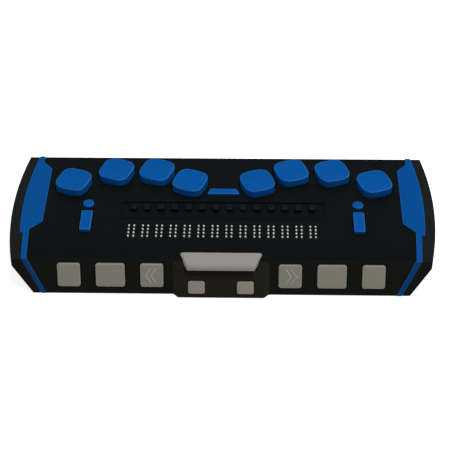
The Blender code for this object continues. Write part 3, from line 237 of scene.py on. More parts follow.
class Paint:
    """A short way to build one procedural material."""

    def __init__(self, name, rough, metallic=0.0, level=0.5):
        self.material = bpy.data.materials.new(name)
        self.material.use_nodes = True
        self.tree = self.material.node_tree
        self.shader = self.tree.nodes["Principled BSDF"]
        for key, value in (("Roughness", rough), ("Metallic", metallic), ("Specular IOR Level", level)):
            self.shader.inputs[key].default_value = value
        self.place = self.node("ShaderNodeTexCoord").outputs["Object"]

    def node(self, kind, **settings):
        made = self.tree.nodes.new(kind)
        for key, value in settings.items():
            setattr(made, key, value)
        return made

    def join(self, source, target):
        self.tree.links.new(source, target)

    def noise(self, size, detail=2.0, stretch=(1, 1, 1)):
        """Cloudy noise with features of a size in metres, as a value around one half."""
        mapping = self.node("ShaderNodeMapping")
        mapping.inputs["Scale"].default_value = stretch
        self.join(self.place, mapping.inputs["Vector"])
        made = self.node("ShaderNodeTexNoise")
        made.inputs["Scale"].default_value = 1 / size
        made.inputs["Detail"].default_value = detail
        self.join(mapping.outputs[0], made.inputs["Vector"])
        return made.outputs["Fac"]

    def reach(self, value, low, high, start=0.0, end=1.0):
        """A value between start and end, spread between low and high."""
        made = self.node("ShaderNodeMapRange")
        made.inputs["From Min"].default_value = start
        made.inputs["From Max"].default_value = end
        made.inputs["To Min"].default_value = low
        made.inputs["To Max"].default_value = high
        self.join(value, made.inputs["Value"])
        return made.outputs[0]

    def mix(self, share, first, second):
        """Two colours mixed; each is a colour or another mix."""
        made = self.node("ShaderNodeMix", data_type="RGBA")
        self.join(share, made.inputs["Factor"])
        for name, value in (("A", first), ("B", second)):
            socket = [entry for entry in made.inputs if entry.name == name and entry.type == "RGBA"][0]
            if isinstance(value, tuple):
                socket.default_value = (*value, 1)
            else:
                self.join(value, socket)
        return [entry for entry in made.outputs if entry.type == "RGBA"][0]

    def add(self, *values):
        """The sum of values."""
        total = values[0]
        for value in values[1:]:
            total = calculate(self.tree, "ADD", total, value)
        return total

    def edges(self, radius, full=0.9):
        """One on outer edges and corners, nothing on flat faces or in inner corners."""
        bevel = self.node("ShaderNodeBevel", samples=4)
        bevel.inputs["Radius"].default_value = radius
        true = self.node("ShaderNodeNewGeometry")
        dot = self.node("ShaderNodeVectorMath", operation="DOT_PRODUCT")
        self.join(bevel.outputs[0], dot.inputs[0])
        self.join(true.outputs["Normal"], dot.inputs[1])
        turned = self.reach(dot.outputs["Value"], 0, 1, start=1, end=full)
        around = self.node("ShaderNodeAmbientOcclusion", samples=4)
        around.inputs["Distance"].default_value = radius * 2
        clear = self.reach(around.outputs["AO"], 0, 1, start=0.7, end=0.95)
        return calculate(self.tree, "MULTIPLY", turned, clear)

    def bump(self, height, distance):
        """Relief from a height value."""
        made = self.node("ShaderNodeBump")
        made.inputs["Distance"].default_value = distance
        self.join(height, made.inputs["Height"])
        self.join(made.outputs[0], self.shader.inputs["Normal"])

    def colour(self, value):
        self.join(value, self.shader.inputs["Base Color"])

    def roughness(self, value):
        self.join(value, self.shader.inputs["Roughness"])


def shade(colour, factor):
    """A colour made lighter or darker."""
    return tuple(channel * factor for channel in colour)


def plastic(name, colour, worn_edge_and_highlight, rough, level=0.02, grain=0.00030, relief=0.000012, shift=0.10, full=0.9):
    """Moulded plastic: a fine grain, slightly uneven colour, finger polish and smoother edges, with a paler
    edge colour that is partly wear and partly a painted highlight.
    """
    paint = Paint(name, rough, level=level)
    cloud = paint.noise(0.018, 3)
    speck = paint.noise(grain * 2.2, 1)
    smear = paint.noise(0.006, 4, (1, 0.4, 1))
    edge = paint.edges(0.0004, full)
    base = paint.mix(cloud, shade(colour, 1 - shift), shade(colour, 1 + shift))
    fine = paint.mix(speck, shade(colour, 1 - shift), shade(colour, 1 + shift))
    half = paint.reach(cloud, 0.45, 0.55)
    # Outer edges take the paler colour: partly wear, partly a painted highlight along the rims.
    paint.colour(paint.mix(edge, paint.mix(half, base, fine), worn_edge_and_highlight))
    paint.roughness(paint.add(paint.reach(smear, rough - 0.05, rough + 0.05),
                              paint.reach(speck, -0.05, 0.05), paint.reach(edge, 0, -0.08)))
    paint.bump(paint.add(paint.noise(grain, 2), paint.reach(cloud, 0, 0.3)), relief)
    return paint.material


# Outlines, as counter-clockwise lists of flat points

def neighbours(points):
    return zip(points[-1:] + points[:-1], points, points[1:] + points[:1])


def offset_outline(outline, amount):
    """Moves every side of an outline outwards by an amount."""
    moved = []
    for before, here, after in neighbours(outline):
        arriving = (here - before).normalized()
        leaving = (after - here).normalized()
        side_a = Vector((arriving.y, -arriving.x))
        side_b = Vector((leaving.y, -leaving.x))
        moved.append(here + (side_a + side_b) * (amount / (1 + side_a.dot(side_b))))
    return moved


def round_corners(corners, radius, steps=8):
    """Replaces each corner of an outline by an arc; radius is one number, or one for each corner."""
    outline = []
    radii = radius if isinstance(radius, list) else [radius] * len(corners)
    for (before, here, after), radius in zip(neighbours([Vector(corner) for corner in corners]), radii):
        if radius == 0:
            outline.append(here)
            continue
        back = (before - here).normalized()
        ahead = (after - here).normalized()
        half = back.angle(ahead) / 2
        centre = here + (back + ahead).normalized() * (radius / sin(half))
        start = here + back * (radius / tan(half)) - centre
        end = here + ahead * (radius / tan(half)) - centre
        sweep = start.angle_signed(end) * -1
        for step in range(steps + 1):
            outline.append(centre + Matrix.Rotation(sweep * step / steps, 2) @ start)
    return outline


def rectangle(left, right, front, back):
    return [Vector((left, front)), Vector((right, front)), Vector((right, back)), Vector((left, back))]


def centred(width, depth):
    return rectangle(-width / 2, width / 2, -depth / 2, depth / 2)


def circle(radius, sides, x=0, y=0):
    return [Vector((x + radius * cos(2 * pi * side / sides), y + radius * sin(2 * pi * side / sides)))
            for side in range(sides)]


def squircle(width, depth, turn, power=3.2, sides=96):
    """A rounded square with slightly swollen sides, turned about its middle."""
    outline = []
    for side in range(sides):
        angle = 2 * pi * side / sides
        total = abs(cos(angle)) ** power + abs(sin(angle)) ** power
        point = Vector((cos(angle) * width, sin(angle) * depth)) / (2 * total ** (1 / power))
        outline.append(Matrix.Rotation(turn, 2) @ point)
    return outline


def mirrored(outline, side):
    """The outline as it is on the right, or its mirror image on the left."""
    if side > 0:
        return outline
    return [Vector((-point.x, point.y)) for point in reversed(outline)]


def flat(outline, z):
    """An outline as a ring of points at a height."""
    return [Vector((point.x, point.y, z)) for point in outline]


# Solids

RIM_STEPS = 6
DISH_SHARES = (0.94, 0.86, 0.74, 0.58, 0.4, 0.22, 0.08)


def link(name, data, place=Matrix()):
    """A new object in the scene."""
    made = bpy.data.objects.new(name, data)
    bpy.context.scene.collection.objects.link(made)
    made.matrix_world = place
    return made


def solid_from(name, shape, place=Matrix()):
    """An object with a bmesh as its mesh; frees the bmesh."""
    mesh = bpy.data.meshes.new(name)
    shape.to_mesh(mesh)
    shape.free()
    return link(name, mesh, place)


def loft(name, rings, place=Matrix()):
    """Closes a skin over rings of equally many points, from the lowest to the highest."""
    shape = bmesh.new()
    loops = [[shape.verts.new(point) for point in ring] for ring in rings]
    shape.faces.new(reversed(loops[0]))
    shape.faces.new(loops[-1])
    for low, high in zip(loops, loops[1:]):
        for (a, b), (d, c) in zip(zip(low, low[1:] + low[:1]), zip(high, high[1:] + high[:1])):
            shape.faces.new((a, b, c, d))
    return solid_from(name, shape, place)


def prism(name, outline, low, high, place=Matrix()):
    """A flat outline with a thickness."""
    return loft(name, [flat(outline, low), flat(outline, high)], place)


def block(name, left, right, front, back, low, high):
    return prism(name, rectangle(left, right, front, back), low, high)


def hull(name, points):
    shape = bmesh.new()
    for point in points:
        shape.verts.new(point)
    bmesh.ops.convex_hull(shape, input=shape.verts)
    bmesh.ops.dissolve_limit(shape, angle_limit=radians(0.5), verts=shape.verts, edges=shape.edges)
    return solid_from(name, shape)


def boolean(piece, operation, *tools):
    for tool in tools:
        modifier = piece.modifiers.new(tool.name, "BOOLEAN")
        modifier.operation = operation
        modifier.solver = "EXACT"
        modifier.object = tool


def soften(piece, width, angle=40):
    """Rounds the edges of a piece that are sharper than an angle in degrees."""
    bevel = piece.modifiers.new("edges", "BEVEL")
    bevel.limit_method = "ANGLE"
    bevel.angle_limit = radians(angle)
    bevel.width = width
    bevel.segments = 2
    bevel.use_clamp_overlap = True
    return piece


def bake(piece):
    """Applies a piece's modifiers and place, and removes the tools that they used."""
    tools = {modifier.object for modifier in piece.modifiers if modifier.type == "BOOLEAN"}
    graph = bpy.context.evaluated_depsgraph_get()
    mesh = bpy.data.meshes.new_from_object(piece.evaluated_get(graph))
    mesh.transform(piece.matrix_world)
    piece.modifiers.clear()
    piece.data = mesh
    piece.matrix_world = Matrix()
    for tool in tools:
        bpy.data.objects.remove(tool)
    return piece


def tidy(piece, distance=0.000004):
    """Merges the slivers that a cut leaves."""
    shape = bmesh.new()
    shape.from_mesh(piece.data)
    bmesh.ops.remove_doubles(shape, verts=shape.verts, dist=distance)
    bmesh.ops.dissolve_limit(shape, angle_limit=radians(0.2), verts=shape.verts, edges=shape.edges)
    shape.to_mesh(piece.data)
    shape.free()
    return piece


def joined(name, *solids):
    """Puts solids together in one object; each keeps its own material slot number."""
    shape = bmesh.new()
    for solid in solids:
        bake(solid)
        shape.from_mesh(solid.data)
        bpy.data.objects.remove(solid)
    return solid_from(name, shape)


def tinted(solid, number):
    """Gives a solid's faces a material slot number."""
    for face in solid.data.polygons:
        face.material_index = number
    return solid


def cap(name, outline, place=Matrix(), *, high, edge, dish, low=LIP_Z, draft=0.0):
    """A button's cap: upright sides that draw in above its foot, a round rim, and a hollow or crowned top."""
    rings = [flat(outline, low), flat(outline, min(0, (low + high) / 2))]
    for step in range(RIM_STEPS + 1):
        angle = pi / 2 * step / RIM_STEPS
        ring = offset_outline(outline, edge * (cos(angle) - 1) - draft)
        rings.append(flat(ring, high - edge * (1 - sin(angle))))
    rim = rings[-1]
    centre = sum(rim, Vector()) / len(rim)
    for share in DISH_SHARES:
        ring = [centre.lerp(point, share) for point in rim]
        rings.append(flat(ring, high - dish * (1 - share ** 2)))
    return loft(name, rings, place)


def lipped(name, body, lip, place=Matrix(), low=LIP_Z):
    """A cap with the lip that holds it under the wall."""
    return joined(name, body, prism("lip", lip, low, low + LIP_THICKNESS, place))


def mouth(name, outline, depth, place, gap=GAP, flare=FLARE):
    """The cutter of an opening with a chamfered rim."""
    above = 3 * flare
    bore = offset_outline(outline, gap)
    rim = offset_outline(outline, gap + flare + above)
    return loft(name, [flat(bore, -depth), flat(bore, -flare), flat(rim, above)], place)


def dress(piece, materials, body, *nodes, slot, angle=32):
    """Gives a piece its materials and shading, ties it to its body, and hides the nodes that it stands in
    for.
    """
    if not isinstance(materials, (list, tuple)):
        materials = [materials]
    numbers = [min(face.material_index, len(materials) - 1) for face in piece.data.polygons]
    piece.data.materials.clear()
    for material in materials:
        piece.data.materials.append(material)
    piece.data.polygons.foreach_set("material_index", numbers)
    piece.data.shade_smooth()
    piece.data.set_sharp_from_angle(angle=radians(angle))
    normals = piece.modifiers.new("normals", "WEIGHTED_NORMAL")
    normals.keep_sharp = True
    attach(piece, body)
    if nodes:
        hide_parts(*nodes)


def middle(node):
    low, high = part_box(node)
    return (low + high) / 2


# The housing's outer form

def arc_x(y):
    """Where the right-hand side wall stands at the deck."""
    return HALF_WIDTH - SIDE_RADIUS + sqrt(SIDE_RADIUS ** 2 - (y - SIDE_MIDDLE_Y) ** 2)


def face_y(z):
    """Where the raked front face stands at a height."""
    return FRONT_Y - FRONT_RAKE * (FRONT_Z - z) / FACE_HEIGHT


def band_foot(inset):
    """The height where a side wall's upright band ends and its slant begins."""
    return BAND_Z - inset * tan(atan2(SIDE_INSET, BAND_Z - BASE_Z) / 2)


def depths(front):
    """Places from one at the front to behind the back."""
    length = BACK_Y + OVERRUN - front
    return [front + length * step / FACETS for step in range(FACETS + 1)]


def side_line(front, z, inset):
    """Points along the right-hand side wall at a height."""
    slant = max(0, band_foot(inset) - z) * SIDE_INSET / (BAND_Z - BASE_Z)
    return [Vector((arc_x(y) - inset - slant, y)) for y in depths(front)]


def both_sides(right, z):
    """The right-hand wall's points at a height, and their mirror images."""
    return flat(right, z) + flat(mirrored(right, -1), z)


def barrel(name, inset, low=UNDER_ALL):
    """The curved side walls as one body, longer than the housing at front and back."""
    return loft(name, [both_sides(side_line(NOSE_Y - OVERRUN, z, inset), z)
                       for z in (low, band_foot(inset), ABOVE_ALL)])


def across(name, inset, floor, reach=0):
    """The side profile drawn out wider than the case; reach moves its front out."""
    base = floor - inset
    corners = [(face_y(base) - reach, base), (BACK_Y, base), (BACK_Y, DECK_Z), (CREASE_Y, DECK_Z),
               (FRONT_Y - reach, FRONT_Z - reach * BAND_DROP / BAND_DEPTH)]
    outline = offset_outline([Vector(corner) for corner in corners], -inset)
    return prism(name, outline, -HALF_WIDTH - OVERRUN, HALF_WIDTH + OVERRUN, LENGTHWISE)


def housing_form(name, inset, floor):
    form = across(name, inset, floor)
    boolean(form, "INTERSECT", barrel(name + "_sides", inset, floor - OVERRUN))
    return tidy(bake(form))


def outer_form(name):
    """The housing's form with its two upright front corners rounded."""
    rings = []
    for z in (UNDER_ALL, band_foot(0), ABOVE_ALL):
        right = side_line(face_y(z), z, 0)
        corners = [Vector((-right[0].x, right[0].y)), right[0], right[1]]
        arc = round_corners(corners, [0, FRONT_CORNER, 0])[1:-1]
        rings.append(both_sides(arc + right[1:], z))
    form = loft(name, rings)
    boolean(form, "INTERSECT", across(name + "_profile", 0, BASE_Z, OVERRUN))
    return tidy(bake(form))


def shifted(place, y=0.0, z=0.0):
    """A place moved along its own axes."""
    return place @ Matrix.Translation((0, y, z))


def on_deck(x, y):
    return Matrix.Translation((x, y, DECK_Z))


def over(node):
    """The place on the deck above a node's middle."""
    spot = middle(node)
    return on_deck(spot.x, spot.y)


def face_frame(x, z):
    """Local Z out of the raked face."""
    return Matrix.Translation((x, face_y(z), z)) @ Matrix.Rotation(pi / 2 - FACE_TILT, 4, "X")


NOSE_TOP_Z = BASE_Z + FACE_HEIGHT * NOSE_TOP_SHARE
NOSE_TOP_Y = face_y(NOSE_TOP_Z) - NOSE_REACH * NOSE_TOP_REACH_SHARE
NOSE_TILT = atan2(NOSE_TOP_Y - NOSE_Y, NOSE_TOP_Z - BASE_Z)


def nose_frame(x, z):
    """Local Z out of the nose's front face."""
    y = NOSE_Y + (z - BASE_Z) * tan(NOSE_TILT)
    return Matrix.Translation((x, y, z)) @ Matrix.Rotation(pi / 2 - NOSE_TILT, 4, "X")


def back_frame(x, z):
    """Local X towards the left, local Z out of the back wall."""
    place = Matrix.Translation((x, BACK_Y, z))
    return place @ Matrix.Rotation(pi, 4, "Z") @ Matrix.Rotation(pi / 2, 4, "X")


def nose_points():
    root_z = FRONT_Z - NOSE_ROOT_DROP
    points = []
    for side in (-1, 1):
        points.append((side * NOSE_FOOT_HALF, NOSE_Y, BASE_Z))
        points.append((side * NOSE_TOP_HALF, NOSE_TOP_Y, NOSE_TOP_Z))
        for z in (BASE_Z, root_z):
            for depth in (GAP, NOSE_ROOT_DEPTH):
                points.append((side * NOSE_ROOT_HALF, face_y(z) + depth, z))
    return points


def trim_outline():
    """The right-hand trim seen from above, from the foot of its stripe round to the back edge."""
    heel_y = FRONT_Y + TRIM_HEEL_LENGTH
    bend_y = heel_y + TRIM_BEND_LENGTH
    neck_y = BACK_Y - TRIM_NECK_LENGTH
    foot_y = FACE_FOOT_Y - OVERRUN
    front_x = arc_x(FRONT_Y) - SIDE_BORDER
    foot_x = front_x - STRIPE_LEAN / FRONT_RAKE * (FRONT_Y - foot_y)
    heel_x = arc_x(heel_y) - SIDE_BORDER - STRIPE_STEP
    neck_x = arc_x(BACK_Y) - SIDE_BORDER - STRIPE_WIDTH
    foot_width = STRIPE_WIDTH - (STRIPE_WIDTH - STRIPE_FOOT_WIDTH) * (FRONT_Y - foot_y) / FRONT_RAKE
    outer = [(foot_x - foot_width, foot_y), (foot_x, foot_y), (front_x, FRONT_Y), (heel_x, heel_y)]
    outer += [(arc_x(y) - SIDE_BORDER, y) for y in depths(heel_y)]
    inner = [(neck_x, BACK_Y + OVERRUN), (neck_x, neck_y), (TRIM_INNER_X, neck_y - TRIM_SHOULDER),
             (TRIM_INNER_X, bend_y + TRIM_BEND_REACH), (heel_x - STRIPE_WIDTH, bend_y),
             (front_x - STRIPE_WIDTH, FRONT_Y)]
    inner_radii = [0, TRIM_CORNER, 2 * TRIM_CORNER, 2 * TRIM_CORNER, TRIM_CORNER, 0]
    return round_corners(outer + inner, [0] * len(outer) + inner_radii, 5)


# Housing

SOLID_SIDE_INSET = 0.0098
POST_RADIUS, POST_MARGIN, POST_FRONT, POST_BACK = 0.0023, 0.0048, 0.0064, 0.0056
POST_X = HALF_WIDTH - SOLID_SIDE_INSET - WALL - POST_RADIUS - POST_MARGIN
POST_PLACES = [(side * POST_X, y) for y in (FRONT_Y + POST_FRONT, BACK_Y - POST_BACK) for side in (-1, 1)]
PLATE_RISE = 0.0002
WELL_RADIUS, WELL_DEPTH = 0.0021, 0.0008
SCREW_RADIUS, SCREW_DEPTH = 0.0017, 0.0007
SLOT_LENGTH, SLOT_WIDTH, SLOT_FLOOR = 0.0018, 0.0004, 0.0002
FOOT_RADIUS, FOOT_X, FOOT_SETBACK = 0.0045, 0.0700, 0.0105
FOOT_PLACES = [(x, y) for x in (-FOOT_X, FOOT_X) for y in (FRONT_Y + FOOT_SETBACK, BACK_Y - FOOT_SETBACK)]
LEVEL_NORMAL, FRONT_NORMAL = 0.7, -0.5
FACE_SKIN = 0.0004


def build_trims(blue, front_blue_painted_shade):
    """The blue end trims, and the cutters of their beds."""
    outside = housing_form("trim_outside", -TRIM_PROUD, BASE_Z + TRIM_FOOT_RISE)
    beds = []
    for side, hand in SIDES:
        outline = mirrored(trim_outline(), side)
        trim = prism("end_trim_" + hand, outline, UNDER_ALL, ABOVE_ALL)
        boolean(trim, "INTERSECT", link("copy", outside.data.copy()))
        boolean(trim, "DIFFERENCE", across("inside", TRIM_SINK, UNDER_ALL))
        tidy(bake(trim))
        bake(soften(trim, TRIM_EDGE))
        # Faces turned to the front take a darker copy of the blue: painted shade.
        for face in trim.data.polygons:
            face.material_index = int(face.normal.y < FRONT_NORMAL)
        dress(trim, (blue, front_blue_painted_shade), "case", "trim_" + hand, slot="trim_blue")
        bed = prism("bed_" + hand, offset_outline(outline, TRIM_GAP), UNDER_ALL, ABOVE_ALL)
        boolean(bed, "DIFFERENCE", across("under", TRIM_SINK + GAP, UNDER_ALL))
        beds.append(bake(bed))
    bpy.data.objects.remove(outside)
    return beds


def build_top_case(materials, tools):
    """The upper shell with rounded edges, and a chamfered mouth for everything that passes through it."""
    case = bake(soften(outer_form("shell_top"), SHELL_EDGE, 25))
    boolean(case, "DIFFERENCE", housing_form("cavity", WALL, UNDER_ALL))
    boolean(case, "UNION", bake(soften(hull("nose", nose_points()), NOSE_EDGE, 12)))
    for x, y in POST_PLACES:
        post = prism("post", circle(POST_RADIUS, 24, x, y), PLATE_Z + GAP, UNDER_DECK_Z + WALL / 2)
        boolean(case, "UNION", post)
    boolean(case, "DIFFERENCE", *tools)
    tidy(bake(case))
    # The front face and the nose take lighter copies of the black, painted light; the outer deck strips take
    # a paler black.
    for face in case.data.polygons:
        behind_face = face.center.y - face_y(face.center.z)
        if face.normal.z > LEVEL_NORMAL:
            if abs(face.center.x) > arc_x(face.center.y) - SIDE_BORDER:
                face.material_index = 3
        elif behind_face < FACE_SKIN:
            face.material_index = 2 if behind_face < -FACE_SKIN / 2 else 1
    dress(case, materials, "case", "top_case", slot="shell_black")


def build_bottom(black, rubber, steel):
    """The floor plate, its four screws in their wells and its four rubber feet."""
    plate = across("shell_bottom", WALL + GAP, PLATE_LOW.z + PLATE_RISE)
    boolean(plate, "INTERSECT", barrel("plate_sides", WALL + GAP),
            block("plate_slice", -HALF_WIDTH, HALF_WIDTH, NOSE_Y, BACK_Y, UNDER_ALL, PLATE_Z))
    tidy(bake(plate))
    bake(soften(plate, SHELL_EDGE))
    low = min(vertex.co.z for vertex in plate.data.vertices)
    for x, y in POST_PLACES:
        well = prism("well", circle(WELL_RADIUS, 32, x, y), low - OVERRUN, low + WELL_DEPTH)
        boolean(plate, "DIFFERENCE", well)
    dress(bake(plate), black, "case", "bottom_case", slot="shell_black")
    downwards = Matrix.Rotation(pi, 4, "X")
    for number, (x, y) in enumerate(POST_PLACES, 1):
        seat = Matrix.Translation((x, y, low + SCREW_DEPTH)) @ downwards
        head = cap(f"case_screw_{number}", circle(SCREW_RADIUS, 32), seat,
                   low=-0.0001, high=0.0006, edge=0.0002, dish=-0.0001)
        for turn in (radians(20), radians(110)):
            arm = prism("arm", centred(SLOT_LENGTH, SLOT_WIDTH), SLOT_FLOOR, OVERRUN,
                        seat @ Matrix.Rotation(turn, 4, "Z"))
            boolean(head, "DIFFERENCE", arm)
        dress(bake(head), steel, "case", slot="socket_steel")
    for number, (x, y) in enumerate(FOOT_PLACES, 1):
        seat = Matrix.Translation((x, y, low)) @ downwards
        foot = cap(f"rubber_foot_{number}", circle(FOOT_RADIUS, 48), seat,
                   low=-0.0002, high=low, edge=0.0003, dish=0.0001)
        dress(bake(foot), rubber, "case", slot="shell_black")


# Reading line

CELL_PLACES = [middle(f"braille_cell_{number:02d}").x for number in range(1, 15)]
PIN_ROWS = 4
PIN_RADIUS, PIN_DOME, PIN_TIP_SHARE, PIN_LOWERED = 0.00044, 0.00050, 0.12, 0.00015
HOLE_RADIUS, HOLE_SLOT, HOLE_FLARE = 0.00060, 0.00014, 0.0001
TINY = 0.00001
CLAMP_HALF, CLAMP_LENGTH, CLAMP_TOP_Z = 0.0024, 0.0084, 0.0102
REED_THICKNESS, REED_HALF, REED_GRIP, REED_CLEARANCE = 0.0006, 0.0009, 0.0011, 0.0012
REED_LOW_Z = PLATE_Z + REED_CLEARANCE
REED_STEP = (CLAMP_TOP_Z - REED_THICKNESS * 2 - REED_LOW_Z) / (PIN_ROWS - 1)
PIN_PLACES = [(column * PIN_PITCH / 2, READING_Y + (row - (PIN_ROWS - 1) / 2) * PIN_PITCH, row)
              for row in range(PIN_ROWS) for column in (-1, 1)]
COVER_GROOVE = 0.0009
ROUTER_Y = COVER_HIGH.y + ROUTER_STRIP + ROUTER_LENGTH / 2
ROUTER_CAP_WIDTH, ROUTER_CAP_DEPTH, ROUTER_LIP_DEPTH, ROUTER_SHIFT = 0.0031, 0.0040, 0.0030, 0.0007
ROUTER_CAP_Y = ROUTER_Y - ROUTER_SHIFT
RECESS_BACK_Y = ROUTER_Y + ROUTER_LENGTH / 2 + ROUTER_BACK_MARGIN


def build_cells(white, amber, black):
    """Each cell: eight round-topped pins on eight reeds, clamped at the back."""
    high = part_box("braille_cell_01")[1]
    top = high.z - PIN_LOWERED
    clamp_front = high.y - CLAMP_LENGTH
    solids = []
    for x, y, row in PIN_PLACES:
        low = REED_LOW_Z + row * REED_STEP
        levels = [(1, low + REED_THICKNESS / 2)]
        for step in range(6):
            angle = pi / 2 * step / 6
            levels.append((cos(angle), top - PIN_DOME * (1 - sin(angle))))
        levels.append((PIN_TIP_SHARE, top))
        pin = loft("pin", [flat(circle(PIN_RADIUS * share, 20, x, y), z) for share, z in levels])
        reed = block("reed", x - REED_HALF, x + REED_HALF, y - REED_HALF, clamp_front + REED_GRIP,
                     low, low + REED_THICKNESS)
        solids += [tinted(pin, 0), tinted(reed, 1)]
    clamp = block("clamp", -CLAMP_HALF, CLAMP_HALF, clamp_front, high.y,
                  REED_LOW_Z - REED_THICKNESS, CLAMP_TOP_Z)
    solids.append(tinted(soften(clamp, CLAMP_EDGE, 30), 2))
    first = joined("cell", *solids)
    for number, x in enumerate(CELL_PLACES, 1):
        cell = link(f"cell_{number:02d}_pins", first.data.copy(), Matrix.Translation((x, 0, 0)))
        node = f"braille_cell_{number:02d}"
        dress(bake(cell), (white, amber, black), node, node, slot="pin_white", angle=40)
    bpy.data.objects.remove(first)


def pin_hole(x, y, z, wider=0.0):
    """A round hole drawn out a little towards the reader, where a lowered pin leans."""
    return [Vector((x + point.x, y + point.y - (HOLE_SLOT if point.y < -TINY else 0), z))
            for point in circle(HOLE_RADIUS + wider, 20)]


def build_cover(satin):
    """The reading plate, with a chamfered hole round each pin; returns the cutters of its seat."""
    low_z = DECK_Z - COVER_THICKNESS
    seat, plate = [round_corners(rectangle(-COVER_HALF, COVER_HALF, COVER_LOW.y, back), SMALL_CORNER, 4)
                   for back in (COVER_HIGH.y, COVER_HIGH.y - COVER_GROOVE)]
    cover = bake(soften(prism("reading_plate", plate, low_z, DECK_Z), FINE_EDGE))
    holes = [loft("hole", [pin_hole(cell + x, y, DECK_Z - OVERRUN),
                           pin_hole(cell + x, y, DECK_Z - HOLE_FLARE),
                           pin_hole(cell + x, y, DECK_Z + HOLE_FLARE, 2 * HOLE_FLARE)])
             for cell in CELL_PLACES for x, y, row in PIN_PLACES]
    boolean(cover, "DIFFERENCE", joined("holes", *holes))
    dress(bake(cover), satin, "case", "cell_cover", slot="cover_black")
    window = rectangle(-COVER_HALF + COVER_LEDGE, COVER_HALF - COVER_LEDGE,
                       COVER_LOW.y + COVER_LEDGE, COVER_HIGH.y - COVER_LEDGE)
    return [mouth("seat", seat, COVER_THICKNESS + GAP, on_deck(0, 0), flare=FLARE / 2),
            prism("window", window, UNDER_DECK_Z - GAP, ABOVE_ALL)]


def build_routers(satin):
    """The cursor routers, small raised caps in a shallow recess; returns the cutters of their openings."""
    wall = WALL - ROUTER_RECESS
    outline = round_corners(centred(ROUTER_CAP_WIDTH, ROUTER_CAP_DEPTH), SMALL_CORNER, 5)
    low = -wall - LIP_DROP
    body = cap("body", outline, low=low, high=0.0013, edge=0.00025, dish=0.0002, draft=0.00012)
    first = lipped("router", body, centred(ROUTER_CAP_WIDTH + LIP_SPREAD, ROUTER_LIP_DEPTH), low=low)
    tools = []
    for number, x in enumerate(CELL_PLACES, 1):
        place = shifted(on_deck(x, ROUTER_CAP_Y), z=-ROUTER_RECESS)
        node = f"router_button_{number:02d}"
        button = link(f"router_{number:02d}", first.data.copy(), place)
        dress(bake(button), satin, node, node, slot="router_black")
        tools.append(mouth("router", outline, wall + GAP, place, flare=FLARE / 2))
    bpy.data.objects.remove(first)
    front = COVER_HIGH.y
    corners = rectangle(-COVER_HALF, COVER_HALF, front - 2 * RECESS_CORNER, RECESS_BACK_Y)
    recess = [point for point in round_corners(corners, RECESS_CORNER) if point.y > front]
    recess += [Vector((-COVER_HALF, front)), Vector((COVER_HALF, front))]
    return [mouth("recess", recess, ROUTER_RECESS, on_deck(0, 0), gap=0)] + tools


# Deck controls

KEY_WIDTH, KEY_DEPTH, KEY_TURN, KEY_GAP = 0.0156, 0.0162, radians(20), 0.00035
KEY_EAR_WIDTH, KEY_EAR_SPREAD = 0.0040, 0.0026
MENU_FRONT_HALF, MENU_BACK_HALF, MENU_DEPTH, MENU_LIP_WIDTH = 0.00765, 0.00605, 0.0037, 0.0060
TRUNNION_RADIUS, TRUNNION_REACH, TRUNNION_DROP = 0.0006, 0.00135, 0.0009
ROCKER_GAP, ROCKER_DROP = 0.0004, 0.0015
NAV_ROCKER_WIDTH, NAV_ROCKER_LENGTH, NAV_ROCKER_CORNER = 0.0051, 0.0136, 0.0008
NAV_BUTTON_RADIUS, NAV_SEAT = 0.0025, 0.0053
SPACE_FRONT, SPACE_BACK, SPACE_RISE, SPACE_FALL, SPACE_THICKNESS = 0.0047, 0.0036, 0.0013, 0.0011, 0.0025
SPACE_HALF, SPACE_SPLAY, SPACE_CORNER, SPACE_ROUND, SPACE_FACET = 0.0150, 0.0036, 0.0005, 0.0016, 0.0007
SPACE_ROOT_HALF, SPACE_ROOT_DEPTH, SPACE_ROOT_SETBACK, SPACE_POCKET = 0.0160, 0.0015, 0.0006, 0.0019
SPACE_LIP_GAP, SPACE_LIP_REACH, SPACE_STEM_HALF, SPACE_STEM_SINK = 0.0003, 0.0011, 0.0020, 0.0004
SWITCH_TOP_Z = 0.0074


def build_keys(blue):
    """Eight braille keys with hollow tops; returns the cutters of their openings."""
    tools = []
    for number in range(1, 9):
        node = f"key_dot_{number}"
        place = over(node)
        turn = KEY_TURN if place.translation.x > 0 else -KEY_TURN
        outline = squircle(KEY_WIDTH, KEY_DEPTH, turn)
        body = cap("body", outline, place, high=0.0029, edge=0.0003, dish=0.0004, draft=0.00025)
        ears = [Matrix.Rotation(turn, 2) @ point
                for point in centred(KEY_EAR_WIDTH, KEY_DEPTH + KEY_EAR_SPREAD)]
        dress(lipped(f"key_cap_{number}", body, ears, place), blue, node, node, slot="key_blue")
        tools.append(mouth("key", outline, THROUGH, place, KEY_GAP))
    return tools


def build_menu(blue):
    """The trapezium between the middle keys."""
    place = over("menu_button")
    corners = [(-MENU_FRONT_HALF, -MENU_DEPTH / 2), (MENU_FRONT_HALF, -MENU_DEPTH / 2),
               (MENU_BACK_HALF, MENU_DEPTH / 2), (-MENU_BACK_HALF, MENU_DEPTH / 2)]
    outline = round_corners(corners, SMALL_CORNER, 5)
    body = cap("body", outline, place, high=0.0010, edge=0.0003, dish=0.0001)
    piece = lipped("menu_cap", body, centred(MENU_LIP_WIDTH, MENU_DEPTH + LIP_SPREAD), place)
    dress(piece, blue, "menu_button", "menu_button", slot="key_blue")
    return [mouth("menu", outline, THROUGH, place)]


def trunnions(width, place):
    """Two short stubs in one pin, across a rocker and under the wall."""
    half = width / 2 + TRUNNION_REACH
    pivot = shifted(place, z=-WALL - TRUNNION_DROP)
    return prism("pin", circle(TRUNNION_RADIUS, 16), -half, half, pivot @ Matrix.Rotation(pi / 2, 4, "Y"))


